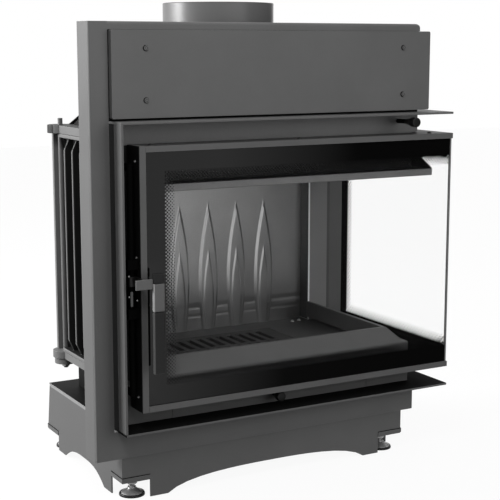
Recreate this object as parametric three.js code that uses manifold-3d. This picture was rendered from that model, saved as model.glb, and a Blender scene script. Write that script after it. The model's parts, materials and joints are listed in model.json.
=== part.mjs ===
// Cast iron wood-burning fireplace insert with an L-shaped glass corner door.
//
// Millimetres, +Z up. While the pieces are being made, X = 0 is the left edge of
// the front frame, Y = 0 its front face (the front looks along -Y) and Z = 0 the
// floor. The last lines move the whole group so that its origin is the middle of
// the bottom of its bounding box.

import * as THREE from 'three';
import { mergeVertices } from 'three/addons/utils/BufferGeometryUtils.js';
import Module from 'manifold-3d';

const wasm = await Module();
wasm.setup();

// Driving dimensions

// Front frame of folded sheet
const frameWidth = 650;
const frameBottom = 77;
const frameHeight = 726;
const frameSheet = 2.5;
const frameFlangeDepth = 44;
const frameBendRadius = 5;
const postWidth = 34;
const topStripHeight = 13;
const frameCornerNotch = 5;
const frameCornerRadius = 8;

// Pedestal box of folded sheet
const pedestalWidth = 578.5;
const pedestalDepth = 347.5;
const pedestalHeight = 124.8;
const pedestalInset = 47.5;
const pedestalSheet = 2.5;
const cornerNotchWidth = 52;
const cornerNotchDepth = 47;
const rearNotchDepth = 56;
const rearTail = 11;
const rearToeLift = 3;
const cornerNotchHeight = 37;
const toeWidth = 34;
const sideToeWidth = 34;
const archRise = 26;
const archSteps = 8;
const rearEdgeHeight = 14;

// Levelling feet under the pedestal corners
const footRadius = 22.5;
const footDiscHeight = 5;
const footConeHeight = 8;
const footStemRadius = 5;
const footStemTop = 62;
const footInsetX = 29.5;
const footInsetY = 27.5;
const bracketThickness = 6;
const weldNutRadius = 9;
const weldNutHeight = 6;

// Cover plate above the shelf and its carrier
const coverLeft = 36.5;
const coverWidth = 630.5;
const coverHeight = 141.5;
const coverBottomGap = 4;
const coverTopGap = 13.5;
const coverProud = 9;
const coverSheet = 2;
const coverCornerRadius = 3;
const coverScrewInset = 60;
const coverScrewRise = 29;
const screwHeadRadius = 4;
const screwHeadHeight = 2.6;
const carrierLap = 10;

// Shelves and sleeve that surround the door
const sleeveLeft = 40;
const sleeveRight = 704.5;
const sleeveFront = 35;
const sleeveSheet = 4;
const shelfBackDepth = 356;
const shelfSeatLap = 8;

// Fixed front of the fire chamber, set back behind the door
const recessDepth = 16;
const bodyFrontWall = 8;
const bodyRight = 650;
const jambWidth = 58;
const rearJambWidth = 42;
const lintelFlange = 11;
const lintelFlangeHeight = 34;
const lintelDrop = 66;
const apronRise = 44.5;
const apronSeamLeft = 149;
const apronSeamRight = 554;

// Door: an open box frame with glass on the front and on the right side
const doorLeft = 70.5;
const doorShelfGap = 32.7;
const shelfDoorGap = 35;
const doorSheet = 3;
const doorBackGap = 4;
const doorRearEnd = 333;
const stileFace = 12;
const railFace = 10;
const doorBackLip = 18;
const rearStileDepth = 23;
const glassRebate = 12.5;
const glassThickness = 4;
const sealWidth = 10;

// Door hinge at the rear of the right side
const hingeInsetX = 14.5;
const hingeBehindDoor = 12;
const hingePinRadius = 5;
const hingeLugRadius = 11;
const hingeLugHeight = 8;
const hingePinReach = 9;

// Latch shaft, hooks, strikes and handle on the left of the door
const latchShaftRadius = 5;
const latchShaftGap = 10.5;
const latchShaftBehindFront = 15;
const latchShaftInset = 28;
const bearingWall = 5;
const bearingHeight = 16;
const hookHeight = 12;
const hookArmWidth = 4;
const hookReach = 22;
const hookClawThickness = 3.2;
const hookClawLength = 7.2;
const strikeWidth = 8;
const strikeDepth = 4;
const strikeGap = 1.8;
const handleArmThickness = 4;
const handleLegThickness = 4.5;
const handleArmHeight = 16;
const handleArmDrop = 7.25;
const handleArmReach = 20;
const handleArmSet = 2.5;
const handleHubRadius = 7.5;
const gripWidth = 20;
const gripDepth = 7;
const gripProud = 22;
const gripRise = 25;
const gripCapHeight = 17;
const gripSleeveHeight = 47;
const gripLength = 104;
const gripCornerRadius = 2;
const gripRight = 29.5;
const lockPlateHeight = 66;
const lockPlateThickness = 2.5;
const lockPlateDrop = 38;
const armNotchGap = 2;

// Cast fire chamber
const castWall = 8;
const bodyLeft = 64;
const bodyBack = 345;
const ribDepth = 18;
const ribThickness = 5;
const ribPitch = 38;
const ribCount = 7;
const ribChamfer = 22;
const rimHeight = 7;
const hearthThickness = 13;
const hearthPad = 6;
const topPlateThickness = 15;
const earRadius = 24;
const earInset = 10;
const rearRibDepth = 5;
const rearRibCount = 6;
const tieRodRadius = 4.5;
const tieRodReach = 12;
const tieRodDrop = 22;
const earBossRadius = 21;
const earBossDrop = 12;

// Lining and the cast back plate with its raised leaves
const liningThickness = 9;
const liningGap = 9;
const backPlateFront = 325;
const columnLeft = 597;
const columnFront = 294;
const columnRadius = 14;
const leafCount = 6;
const leafPitch = 63.7;
const leafHeightShare = 0.7764;
const leafWidth = 42;
const leafRise = 6;
const leafSteps = 10;
const leafWidestShare = 0.35;
const leafFootShare = 0.34;
const innerLeafShare = 0.62;
const innerLeafHeightShare = 0.64;
const leafFallShare = 1.15;
const grooveHeight = 3;
const grooveDepth = 2;
const groovePitch = 16;
const grooveCount = 2;
const grooveLevel = 36;
const backPlateBolt = 6;
const backPlateBoltHead = 4;
const backPlateBoltInset = 20;
const baffleThickness = 20;
const baffleFront = 110;

// Sills round the fire bed and the throat lip under the lintel
const sillRise = 40;
const sillInner = 20;
const sillWall = 7;
const sillSlope = 25;
const sillDrop = 27;
const sillLip = 6;
const sillRight = 600;
const sillLeft = 125;
const throatReach = 27;
const throatLip = 13;
const throatBack = 6;

// Grate, ash pan, air box and air control
const grateWidth = 280;
const grateLap = 10;
const grateFront = 90;
const grateThickness = 12;
const grateLedge = 6;
const grateBar = 12;
const grateSlotPitch = 22;
const grateSlotWidth = 10;
const airBoxInset = 42.5;
const airBoxFront = 40;
const airBoxBack = 303;
const airBoxSheet = 2.5;
const airBoxHeight = 55.2;
const panWidth = 260;
const panDepth = 160;
const panFront = 110;
const panTopGap = 2.2;
const panSheet = 2;
const panSkidHeight = 6;
const panSkidWidth = 10;
const airKnobX = 354;
const airRodRise = 19.2;
const knobRadius = 8.5;
const knobLength = 12;
const knobNeckRadius = 5;
const airKnobNeck = 10;
const pullRodRadius = 4;
const airKnobProud = 26;
const gateWidth = 108;
const gateLength = 98;
const gateFront = 92;
const gateThickness = 2;
const gateHoleInset = 18;
const spigotRadius = 50;
const spigotWall = 2;
const spigotLength = 25;
const spigotLevel = 72;

// Smoke hood, flue collar and damper
const hoodSheet = 4;
const hoodInsetLeft = 28;
const hoodInsetRight = 50;
const hoodFront = 30;
const hoodBack = 330;
const hoodHeight = 170;
const hoodCornerRadius = 30;
const flueX = 331;
const flueY = 185;
const flueRadius = 101.5;
const flueWall = 3;
const collarHeight = 50;
const throatHoleWidth = 250;
const throatHoleDepth = 170;
const damperKnobX = 617;
const damperRodRise = 22;
const damperKnobProud = 57;
const damperKnobNeck = 22;
const damperArm = 30;
const damperTravel = 39.5;
const damperPinRise = 2;
const damperShaftRadius = 5;
const damperPinRadius = 3;
const damperSlotPlay = 0.8;
const damperCrankWidth = 12;
const damperCrankThickness = 6;
const damperCrankTurn = 40;
const damperForkThickness = 4;
const damperForkGap = 2;
const damperForkWall = 4;
const damperRodLength = 160;
const flapWidth = 160;
const flapLength = 96;
const flapThickness = 4;

// Clearances
const seatGap = 0.3;
const runGap = 0.4;
const overrun = 5;
const weldReach = 0.0005;

// Places worked out from the driving dimensions
const frameTop = frameBottom + frameHeight;
const pedestalRight = pedestalInset + pedestalWidth;
const pedestalFront = frameSheet;
const pedestalBack = pedestalFront + pedestalDepth;
const bottomShelfTop = pedestalHeight + sleeveSheet;
const topShelfTop = frameTop - coverTopGap - coverHeight - coverBottomGap;
const topShelfBottom = topShelfTop - sleeveSheet;
const doorBottom = bottomShelfTop + doorShelfGap;
const doorTop = topShelfBottom - shelfDoorGap;
const lintelBottom = doorTop - lintelDrop;
const apronTop = doorBottom + apronRise;
const handleArmLevel = (doorBottom + doorTop) / 2 - handleArmDrop;
const gripTop = handleArmLevel + gripRise;
const lockPlateLevel = handleArmLevel - lockPlateDrop;
const bodyInnerFront = recessDepth + bodyFrontWall;
const doorFront = -sleeveFront;
const doorRight = sleeveRight;
const doorBack = recessDepth - doorBackGap;
const doorInnerRight = bodyRight + doorBackGap;
const hingeX = doorRight - hingeInsetX;
const hingeY = doorRearEnd + hingeBehindDoor;
const hearthBottom = pedestalHeight + airBoxHeight;
const hearthTop = hearthBottom + hearthThickness;
const fireFloor = hearthTop + hearthPad;
const sillTop = fireFloor + sillRise;
const liningTop = lintelBottom - liningGap;
const leafHeight = (liningTop - fireFloor) * leafHeightShare;
const grateDepth = panDepth + 2 * grateLap;
const panHeight = airBoxHeight - panSkidHeight - panTopGap;
const airRodLevel = pedestalHeight + airRodRise;
const topPlateBottom = doorTop;
const topPlateTop = topPlateBottom + topPlateThickness;
const leftWallOuter = bodyLeft + ribDepth;
const leftWallInner = leftWallOuter + castWall;
const backWallFront = bodyBack - castWall;
const bodyInnerRight = bodyRight - bodyFrontWall;
const latchX = doorLeft - latchShaftGap;
const latchY = doorFront + latchShaftBehindFront;
const fireCentreX = (leftWallInner + liningThickness + columnLeft) / 2;
const hoodTop = topPlateTop + hoodHeight;
const flueTop = hoodTop + collarHeight;
const damperRodLevel = doorTop + damperRodRise;
const damperShaftZ = damperRodLevel + damperPinRise + damperArm;
const crankAngle = THREE.MathUtils.degToRad(damperCrankTurn);

// Materials with the colours, roughness and metalness of the real finishes
const finish = (color, roughness, metalness, extra = {}) =>
  new THREE.MeshStandardMaterial({ color, roughness, metalness, ...extra });
const graphitePaint = () => finish(0x5a5b5d, 0.6, 0.3);
const blackPaint = () => finish(0x2a2a2b, 0.7, 0.2);
const castIron = () => finish(0x46474a, 0.75, 0.5);
const liningGrey = () => finish(0x7d7f82, 0.7, 0.3);
const brightSteel = () => finish(0xb4b6b8, 0.35, 0.9);
const glassClear = () => finish(0xdfe6e6, 0.05, 0, { transparent: true, opacity: 0.3 });
const sealRope = () => finish(0x1d1d1e, 0.95, 0);

// Basic forms

// A block between two values along each axis.
function block([x0, x1], [y0, y1], [z0, z1]) {
  const geometry = new THREE.BoxGeometry(x1 - x0, y1 - y0, z1 - z0);
  geometry.translate((x0 + x1) / 2, (y0 + y1) / 2, (z0 + z1) / 2);
  return geometry;
}

// A closed outline through corner points.
function outline(points) {
  return new THREE.Shape(points.map(([a, b]) => new THREE.Vector2(a, b)));
}

// A rectangle with rounded corners.
function roundedRectangle(a0, a1, b0, b1, radius) {
  const shape = new THREE.Shape();
  shape.absarc(a1 - radius, b0 + radius, radius, -Math.PI / 2, 0);
  shape.absarc(a1 - radius, b1 - radius, radius, 0, Math.PI / 2);
  shape.absarc(a0 + radius, b1 - radius, radius, Math.PI / 2, Math.PI);
  shape.absarc(a0 + radius, b0 + radius, radius, Math.PI, 1.5 * Math.PI);
  shape.closePath();
  return shape;
}

// An outline drawn in X and Y, given its thickness along Z.
function plateXY(shape, z0, z1, curveSegments = 6) {
  const geometry = new THREE.ExtrudeGeometry(shape, { depth: z1 - z0, bevelEnabled: false, curveSegments });
  return geometry.translate(0, 0, z0);
}

// An outline drawn in X and Z, given its thickness along Y.
function plateXZ(shape, y0, y1, curveSegments = 6) {
  const geometry = new THREE.ExtrudeGeometry(shape, { depth: y1 - y0, bevelEnabled: false, curveSegments });
  return geometry.rotateX(Math.PI / 2).translate(0, y1, 0);
}

// An outline drawn in Y and Z, given its thickness along X.
function plateYZ(shape, x0, x1, curveSegments = 6) {
  const geometry = new THREE.ExtrudeGeometry(shape, { depth: x1 - x0, bevelEnabled: false, curveSegments });
  const turn = new THREE.Matrix4().makeBasis(
    new THREE.Vector3(0, 1, 0), new THREE.Vector3(0, 0, 1), new THREE.Vector3(1, 0, 0));
  return geometry.applyMatrix4(turn).translate(x0, 0, 0);
}

// A turned piece: radius and height pairs revolved about a vertical axis.
function turned(profile, sides, x, y) {
  const points = profile.map(([r, z]) => new THREE.Vector2(r, z));
  const geometry = new THREE.LatheGeometry(points, sides);
  return geometry.rotateX(Math.PI / 2).translate(x, y, 0);
}

// A round bar along one axis ('x', 'y' or 'z') between two values.
function bar(axis, radius, centre, from, to, sides = 16) {
  const geometry = new THREE.CylinderGeometry(radius, radius, to - from, sides);
  const middle = (from + to) / 2;
  if (axis === 'x') return geometry.rotateZ(-Math.PI / 2).translate(middle, centre[0], centre[1]);
  if (axis === 'y') return geometry.translate(centre[0], middle, centre[1]);
  return geometry.rotateX(Math.PI / 2).translate(centre[0], centre[1], middle);
}

// One shared point wherever corners meet, and no triangle closed to nothing.
function weld(geometry) {
  const bare = new THREE.BufferGeometry();
  bare.setAttribute('position', geometry.getAttribute('position'));
  if (geometry.index) bare.setIndex(geometry.index);
  const merged = mergeVertices(bare, weldReach);
  const order = merged.index.array;
  const kept = [];
  for (let i = 0; i < order.length; i += 3) {
    const [a, b, c] = [order[i], order[i + 1], order[i + 2]];
    if (a !== b && b !== c && a !== c) kept.push(a, b, c);
  }
  merged.setIndex(kept);
  return merged;
}

// Joining and cutting of closed solids
function toSolid(geometry) {
  const welded = outward(weld(geometry));
  const triVerts = Uint32Array.from(welded.index.array);
  const vertProperties = Float32Array.from(welded.getAttribute('position').array);
  return new wasm.Manifold(new wasm.Mesh({ numProp: 3, vertProperties, triVerts }));
}

function fromSolid(solid) {
  const mesh = solid.getMesh();
  const geometry = new THREE.BufferGeometry();
  geometry.setAttribute('position', new THREE.BufferAttribute(mesh.vertProperties, 3));
  geometry.setIndex(new THREE.BufferAttribute(mesh.triVerts, 1));
  return geometry;
}

const join = (...pieces) => fromSolid(pieces.map(toSolid).reduce((a, b) => a.add(b)));
const cut = (piece, ...tools) => fromSolid(tools.map(toSolid).reduce((a, b) => a.subtract(b), toSolid(piece)));

// A solid through rings of matching points, each ring flat.
function loft(rings) {
  const count = rings[0].length;
  const last = (rings.length - 1) * count;
  const index = [];
  for (let k = 0; k < last; k += count) {
    for (let i = 0; i < count; i += 1) {
      const j = (i + 1) % count;
      index.push(k + i, k + j, k + count + j, k + i, k + count + j, k + count + i);
    }
  }
  for (const [a, b, c] of THREE.ShapeUtils.triangulateShape(flatten(rings[0]), [])) {
    index.push(a, c, b);
    index.push(last + a, last + b, last + c);
  }
  const geometry = new THREE.BufferGeometry();
  geometry.setAttribute('position', new THREE.Float32BufferAttribute(rings.flat(2), 3));
  geometry.setIndex(index);
  return outward(geometry);
}

// The points of a flat ring in two coordinates of their own plane.
function flatten(ring) {
  const points = ring.map((p) => new THREE.Vector3(...p));
  const normal = new THREE.Vector3();
  points.forEach((p, i) => normal.add(new THREE.Vector3().crossVectors(p, points[(i + 1) % points.length])));
  normal.normalize();
  const side = new THREE.Vector3(0, 0, 1).cross(normal);
  if (side.lengthSq() < 1e-6) side.set(1, 0, 0);
  side.normalize();
  const up = new THREE.Vector3().crossVectors(normal, side);
  return points.map((p) => new THREE.Vector2(p.dot(side), p.dot(up)));
}

// Turns a closed surface so that its faces point out.
function outward(geometry) {
  const position = geometry.getAttribute('position');
  const [a, b, c] = [new THREE.Vector3(), new THREE.Vector3(), new THREE.Vector3()];
  const order = geometry.index.array;
  let volume = 0;
  for (let i = 0; i < order.length; i += 3) {
    a.fromBufferAttribute(position, order[i]);
    b.fromBufferAttribute(position, order[i + 1]);
    c.fromBufferAttribute(position, order[i + 2]);
    volume += a.dot(b.cross(c));
  }
  if (volume < 0) geometry.setIndex(Array.from(order).reverse());
  return geometry;
}

// The finished group
const model = new THREE.Group();

function add(name, geometry, material) {
  const mesh = new THREE.Mesh(outward(weld(geometry)), material);
  mesh.name = name;
  model.add(mesh);
}

// Pedestal walls: sheet with notched corners, toes that reach the floor, an arch
function pedestalWallOutline({ from, to, notch, farNotch, toe, top, tail, lift }) {
  const left = from + notch;
  const right = to + tail - farNotch;
  const middle = (left + right) / 2;
  const control = (right - left) / 8;
  const shape = new THREE.Shape();
  shape.moveTo(from, top);
  shape.lineTo(from, cornerNotchHeight);
  shape.lineTo(left, cornerNotchHeight);
  shape.lineTo(left, 0);
  shape.lineTo(left + toe, 0);
  shape.bezierCurveTo(left + toe + toe, archRise, middle - control, archRise, middle, archRise);
  shape.bezierCurveTo(middle + control, archRise, right - toe - toe, archRise, right - toe, lift);
  shape.lineTo(right, lift);
  shape.lineTo(right, cornerNotchHeight);
  shape.lineTo(to + tail, cornerNotchHeight);
  shape.lineTo(to, top);
  return shape;
}

function addPedestal() {
  const top = pedestalHeight - pedestalSheet;
  const wallBack = pedestalBack - pedestalSheet;
  const wallFront = pedestalFront + pedestalSheet;
  const front = pedestalWallOutline({
    from: pedestalInset, to: pedestalRight, notch: cornerNotchWidth, farNotch: cornerNotchWidth,
    toe: toeWidth, top, tail: 0, lift: 0,
  });
  const side = pedestalWallOutline({
    from: pedestalFront, to: wallBack, notch: cornerNotchDepth, farNotch: rearNotchDepth,
    toe: sideToeWidth, top, tail: rearTail + pedestalSheet, lift: rearToeLift,
  });
  add('pedestal_walls', join(
    plateXZ(front, pedestalFront, wallFront, archSteps),
    plateYZ(side, pedestalInset, pedestalInset + pedestalSheet, archSteps),
    plateYZ(side, pedestalRight - pedestalSheet, pedestalRight, archSteps)), graphitePaint());
  const centre = (pedestalInset + pedestalRight) / 2;
  const inner = spigotRadius - spigotWall;
  const left = pedestalInset + pedestalSheet + seatGap;
  const right = pedestalRight - pedestalSheet - seatGap;
  const rear = outline([
    [left, top],
    [left, cornerNotchHeight],
    [pedestalInset + cornerNotchWidth, cornerNotchHeight],
    [pedestalInset + cornerNotchWidth, rearEdgeHeight],
    [pedestalRight - cornerNotchWidth, rearEdgeHeight],
    [pedestalRight - cornerNotchWidth, cornerNotchHeight],
    [right, cornerNotchHeight],
    [right, top],
  ]);
  const tube = bar('y', spigotRadius, [centre, spigotLevel], wallBack, pedestalBack + spigotLength, 32);
  const bore = bar('y', inner, [centre, spigotLevel], wallBack - overrun,
    pedestalBack + spigotLength + overrun, 32);
  add('pedestal_back', cut(join(plateXZ(rear, wallBack, pedestalBack), tube), bore), graphitePaint());
  const lid = block([pedestalInset, pedestalRight], [pedestalFront, pedestalBack], [top, pedestalHeight]);
  const airHole = block(
    [airKnobX - gateWidth / 2 + gateHoleInset, airKnobX + gateWidth / 2 - gateHoleInset],
    [gateFront + gateHoleInset, gateFront + gateLength - gateHoleInset],
    [top - overrun, pedestalHeight + overrun]);
  add('pedestal_top', cut(lid, airHole), graphitePaint());
}

// Corner brackets with a weld nut, and the levelling feet that screw into them
function addFeet() {
  const rearCorner = pedestalBack + rearTail;
  const corners = {
    front_left: [pedestalInset, pedestalFront, 1, 1],
    front_right: [pedestalRight, pedestalFront, -1, 1],
    rear_left: [pedestalInset, rearCorner, 1, -1],
    rear_right: [pedestalRight, rearCorner, -1, -1],
  };
  const bracketBottom = cornerNotchHeight - bracketThickness;
  const nutBottom = bracketBottom - weldNutHeight;
  for (const [place, [x, y, sx, sy]] of Object.entries(corners)) {
    const footX = x + sx * footInsetX;
    const footY = y + sy * footInsetY;
    const notchDepth = sy > 0 ? cornerNotchDepth : rearNotchDepth;
    const spanX = [x, x + sx * (cornerNotchWidth - seatGap)].sort((a, b) => a - b);
    const spanY = [y, y + sy * (notchDepth - seatGap)].sort((a, b) => a - b);
    const plate = block(spanX, spanY, [bracketBottom, cornerNotchHeight]);
    const nut = bar('z', weldNutRadius, [footX, footY], nutBottom, bracketBottom, 6);
    const hole = bar('z', footStemRadius + runGap, [footX, footY], nutBottom - overrun,
      cornerNotchHeight + overrun);
    add(`foot_bracket_${place}`, cut(join(plate, nut), hole), graphitePaint());
    const profile = [
      [0, 0],
      [footRadius, 0],
      [footRadius, footDiscHeight],
      [footStemRadius + footDiscHeight, footDiscHeight + footConeHeight],
      [footStemRadius, footDiscHeight + footConeHeight],
      [footStemRadius, footStemTop],
      [0, footStemTop],
    ];
    add(`levelling_foot_${place}`, turned(profile, 20, footX, footY), brightSteel());
  }
}

// Frame of folded sheet: left post, top strip and bottom strip
function foldedAngle(face, flange, sheet, radius) {
  const shape = new THREE.Shape();
  const inner = radius - sheet;
  shape.moveTo(face, 0);
  shape.lineTo(face, sheet);
  shape.lineTo(radius, sheet);
  shape.absarc(radius, radius, inner, 1.5 * Math.PI, Math.PI, true);
  shape.lineTo(sheet, flange);
  shape.lineTo(0, flange);
  shape.absarc(radius, radius, radius, Math.PI, 1.5 * Math.PI);
  return shape;
}

function addFrame() {
  const profile = foldedAngle(postWidth, frameFlangeDepth, frameSheet, frameBendRadius);
  const post = plateXY(profile, frameBottom, frameTop, 3);
  const postLid = block([frameCornerNotch, postWidth], [frameSheet / 2, frameFlangeDepth],
    [frameTop - frameSheet, frameTop]);
  const strip = foldedAngle(topStripHeight, frameFlangeDepth, frameSheet, frameBendRadius);
  const lap = postWidth - carrierLap;
  const depth = frameWidth - lap;
  const top = new THREE.ExtrudeGeometry(strip, { depth, bevelEnabled: false, curveSegments: 3 });
  const turn = new THREE.Matrix4().makeBasis(
    new THREE.Vector3(0, 0, -1), new THREE.Vector3(0, 1, 0), new THREE.Vector3(1, 0, 0));
  top.applyMatrix4(turn).translate(lap, 0, frameTop);
  const cornerX = frameWidth - frameCornerRadius;
  const cornerZ = frameTop - frameCornerRadius;
  const across = [-overrun, frameFlangeDepth + overrun];
  const round = bar('y', frameCornerRadius, [cornerX, cornerZ], ...across, 24);
  const corner = cut(block([cornerX, frameWidth + overrun], across, [cornerZ, frameTop + overrun]), round);
  const foot = block([lap, frameWidth], [0, frameSheet], [frameBottom, pedestalHeight - seatGap]);
  add('front_frame', join(post, postLid, cut(top, corner), foot), graphitePaint());
}

// Cover plate, a shallow tray screwed to a carrier sheet behind it
function addCover() {
  const top = frameTop - coverTopGap;
  const bottom = top - coverHeight;
  const right = coverLeft + coverWidth;
  const tray = plateXZ(roundedRectangle(coverLeft, right, bottom, top, coverCornerRadius),
    -coverProud, frameSheet, 3);
  const hollow = block([coverLeft + coverSheet, right - coverSheet],
    [coverSheet - coverProud, frameSheet + overrun], [bottom + coverSheet, top - coverSheet]);
  const heads = [];
  for (const x of [coverLeft + coverScrewInset, right - coverScrewInset]) {
    for (const z of [bottom + coverScrewRise, top - coverScrewRise]) {
      heads.push(bar('y', screwHeadRadius, [x, z], -coverProud - screwHeadHeight,
        coverSheet / 2 - coverProud, 12));
    }
  }
  add('cover_plate', join(cut(tray, hollow), ...heads), graphitePaint());
  add('cover_carrier', block([postWidth - carrierLap, frameWidth], [frameSheet, frameSheet + frameSheet],
    [topShelfTop, frameTop - frameBendRadius]), blackPaint());
}

// Shelves above and below the door and the sleeve wall at its left
function shelfPlate(z0) {
  const back = recessDepth + shelfSeatLap;
  return plateXY(outline([
    [sleeveLeft, -sleeveFront],
    [sleeveRight, -sleeveFront],
    [sleeveRight, shelfBackDepth],
    [bodyRight - shelfSeatLap, shelfBackDepth],
    [bodyRight - shelfSeatLap, back],
    [sleeveLeft, back],
  ]), z0, z0 + sleeveSheet);
}

function addSleeve() {
  add('top_shelf', shelfPlate(topShelfBottom), graphitePaint());
  add('bottom_shelf', shelfPlate(pedestalHeight), graphitePaint());
  add('sleeve_left_wall', block([sleeveLeft, sleeveLeft + sleeveSheet], [-sleeveFront, recessDepth],
    [bottomShelfTop, topShelfBottom]), graphitePaint());
}

// Fixed front: jamb, lintels and aprons, all in the recessed plane
function addFixedFront() {
  const depth = [recessDepth, bodyInnerFront];
  const sideWall = [bodyInnerRight, bodyRight];
  const sideRun = [bodyInnerFront + seatGap, backWallFront - seatGap];
  const rise = [bottomShelfTop, apronTop];
  const jamb = block([sleeveLeft, sleeveLeft + jambWidth], depth, [apronTop + seatGap, topShelfBottom]);
  const lintel = block([sleeveLeft, bodyRight], depth, [lintelBottom, topShelfBottom]);
  const rodHole = (x, z) => bar('y', pullRodRadius + runGap, [x, z], recessDepth - overrun,
    bodyInnerFront + overrun);
  const flangeRise = [topShelfBottom - lintelFlangeHeight, topShelfBottom];
  const flange = block([damperKnobX, bodyRight + lintelFlange], depth, flangeRise);
  add('front_casting', cut(join(jamb, lintel, flange), rodHole(damperKnobX, damperRodLevel)), graphitePaint());
  add('side_casting', join(
    block(sideWall, sideRun, [lintelBottom, topShelfBottom]),
    block(sideWall, [backWallFront - seatGap - rearJambWidth, backWallFront - seatGap],
      [bottomShelfTop, topShelfBottom]),
    block([bodyInnerRight, bodyRight + lintelFlange], sideRun, flangeRise),
    block(sideWall, sideRun, rise)), graphitePaint());
  add('apron_left', block([sleeveLeft, apronSeamLeft - seatGap], depth, rise), graphitePaint());
  add('apron_centre', cut(block([apronSeamLeft, apronSeamRight], depth, rise),
    rodHole(airKnobX, airRodLevel)), graphitePaint());
  add('apron_right', block([apronSeamRight + seatGap, bodyRight], depth, rise), graphitePaint());
}

// A flat strip that turns the corner: along the front, then back along the right side
function cornerStrip(left, rear, [yOuter, yInner], [xOuter, xInner], z0, z1) {
  return plateXY(outline([
    [left, yOuter],
    [xOuter, yOuter],
    [xOuter, rear],
    [xInner, rear],
    [xInner, yInner],
    [left, yInner],
  ]), z0, z1);
}

// A door rail: web, face lip in front of the glass and back lip for the seal
function doorRail(web, lip, seat) {
  const left = doorLeft + stileFace + seatGap;
  const seatLeft = doorLeft + doorBackLip + seatGap;
  const rear = doorRearEnd - rearStileDepth - seatGap;
  return join(
    cornerStrip(left, rear, [doorFront, doorBack - doorSheet - seatGap], [doorRight, doorInnerRight], ...web),
    cornerStrip(left, rear, [doorFront, doorFront + doorSheet], [doorRight, doorRight - doorSheet], ...lip),
    cornerStrip(seatLeft, rear, [doorBack - doorSheet - overrun, doorBack], [doorRight, doorInnerRight], ...web),
    cornerStrip(seatLeft, rear, [doorBack - doorSheet, doorBack],
      [doorInnerRight + doorSheet, doorInnerRight], ...seat));
}

function addDoorFrame() {
  add('door_top_rail', doorRail([doorTop - doorSheet, doorTop], [doorTop - railFace, doorTop],
    [doorTop - doorBackLip, doorTop]), graphitePaint());
  add('door_bottom_rail', doorRail([doorBottom, doorBottom + doorSheet], [doorBottom, doorBottom + railFace],
    [doorBottom, doorBottom + doorBackLip]), graphitePaint());
  const channel = plateXY(outline([
    [doorLeft, doorFront],
    [doorLeft + stileFace, doorFront],
    [doorLeft + stileFace, doorFront + doorSheet],
    [doorLeft + doorSheet, doorFront + doorSheet],
    [doorLeft + doorSheet, doorBack - doorSheet],
    [doorLeft + doorBackLip, doorBack - doorSheet],
    [doorLeft + doorBackLip, doorBack],
    [doorLeft, doorBack],
  ]), doorBottom, doorTop);
  const ends = [doorBottom, doorTop - doorSheet].map((z) => block([doorLeft, doorLeft + stileFace],
    [doorFront, doorBack], [z, z + doorSheet]));
  add('door_left_stile', join(channel, ...ends), graphitePaint());
  addRearStile();
}

// Rear stile of the side door with the two hinge lugs
function addRearStile() {
  const front = doorRearEnd - rearStileDepth;
  const body = block([doorInnerRight, doorRight], [front, doorRearEnd], [doorBottom, doorTop]);
  const inside = [doorBottom + doorSheet, doorTop - doorSheet];
  const innerFace = doorRight - doorSheet;
  const hollow = block([doorInnerRight + doorSheet, innerFace], [front + doorSheet, doorRearEnd - doorSheet], inside);
  const rebate = block([innerFace - glassRebate, innerFace], [front - overrun, front + doorSheet + seatGap], inside);
  const lugs = [doorBottom, doorTop - hingeLugHeight].map((z) => join(
    bar('z', hingeLugRadius, [hingeX, hingeY], z, z + hingeLugHeight, 24),
    block([hingeX - hingeLugRadius, hingeX + hingeLugRadius], [doorRearEnd - doorSheet, hingeY],
      [z, z + hingeLugHeight])));
  const bore = bar('z', hingePinRadius + runGap, [hingeX, hingeY], doorBottom - overrun, doorTop + overrun, 24);
  add('door_rear_stile', cut(join(body, ...lugs), hollow, rebate, bore), graphitePaint());
  const half = hingeLugRadius;
  const footprint = [[hingeX - half, hingeX + half], [hingeY - half, hingeY + half]];
  add('hinge_bracket_upper', join(
    block(...footprint, [doorTop + seatGap, topShelfBottom]),
    bar('z', hingePinRadius, [hingeX, hingeY], doorTop - hingePinReach, doorTop + overrun, 24)), blackPaint());
  add('hinge_bracket_lower', join(
    block(...footprint, [bottomShelfTop, doorBottom - seatGap]),
    bar('z', hingePinRadius, [hingeX, hingeY], doorBottom - overrun, doorBottom + hingePinReach, 24)),
  blackPaint());
}

// Glass panes, bonded at the open corner, and the rope seal behind the door
function addGlass() {
  const glassFront = doorFront + doorSheet + seatGap;
  const glassRight = doorRight - doorSheet - seatGap;
  const level = [doorBottom + doorSheet + seatGap, doorTop - doorSheet - seatGap];
  add('front_glass', block([doorLeft + doorSheet + seatGap, glassRight],
    [glassFront, glassFront + glassThickness], level), glassClear());
  add('side_glass', block([glassRight - glassThickness, glassRight],
    [glassFront + glassThickness + seatGap, doorRearEnd - doorSheet - seatGap], level), glassClear());
  const lo = doorBottom + doorSheet;
  const hi = doorTop - doorSheet;
  const left = doorLeft + doorSheet;
  const back = recessDepth - seatGap;
  const rear = doorRearEnd - seatGap;
  const arms = [
    block([left, left + sealWidth], [doorBack, back], [lo, hi]),
    block([left, bodyRight + seatGap], [doorBack, back], [lo, lo + sealWidth]),
    block([left, bodyRight + seatGap], [doorBack, back], [hi - sealWidth, hi]),
    block([bodyRight + seatGap, doorInnerRight], [doorBack, rear], [lo, lo + sealWidth]),
    block([bodyRight + seatGap, doorInnerRight], [doorBack, rear], [hi - sealWidth, hi]),
    block([bodyRight + seatGap, doorInnerRight], [rear - sealWidth, rear], [lo, hi]),
  ];
  add('door_seal', join(...arms), sealRope());
}

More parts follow.
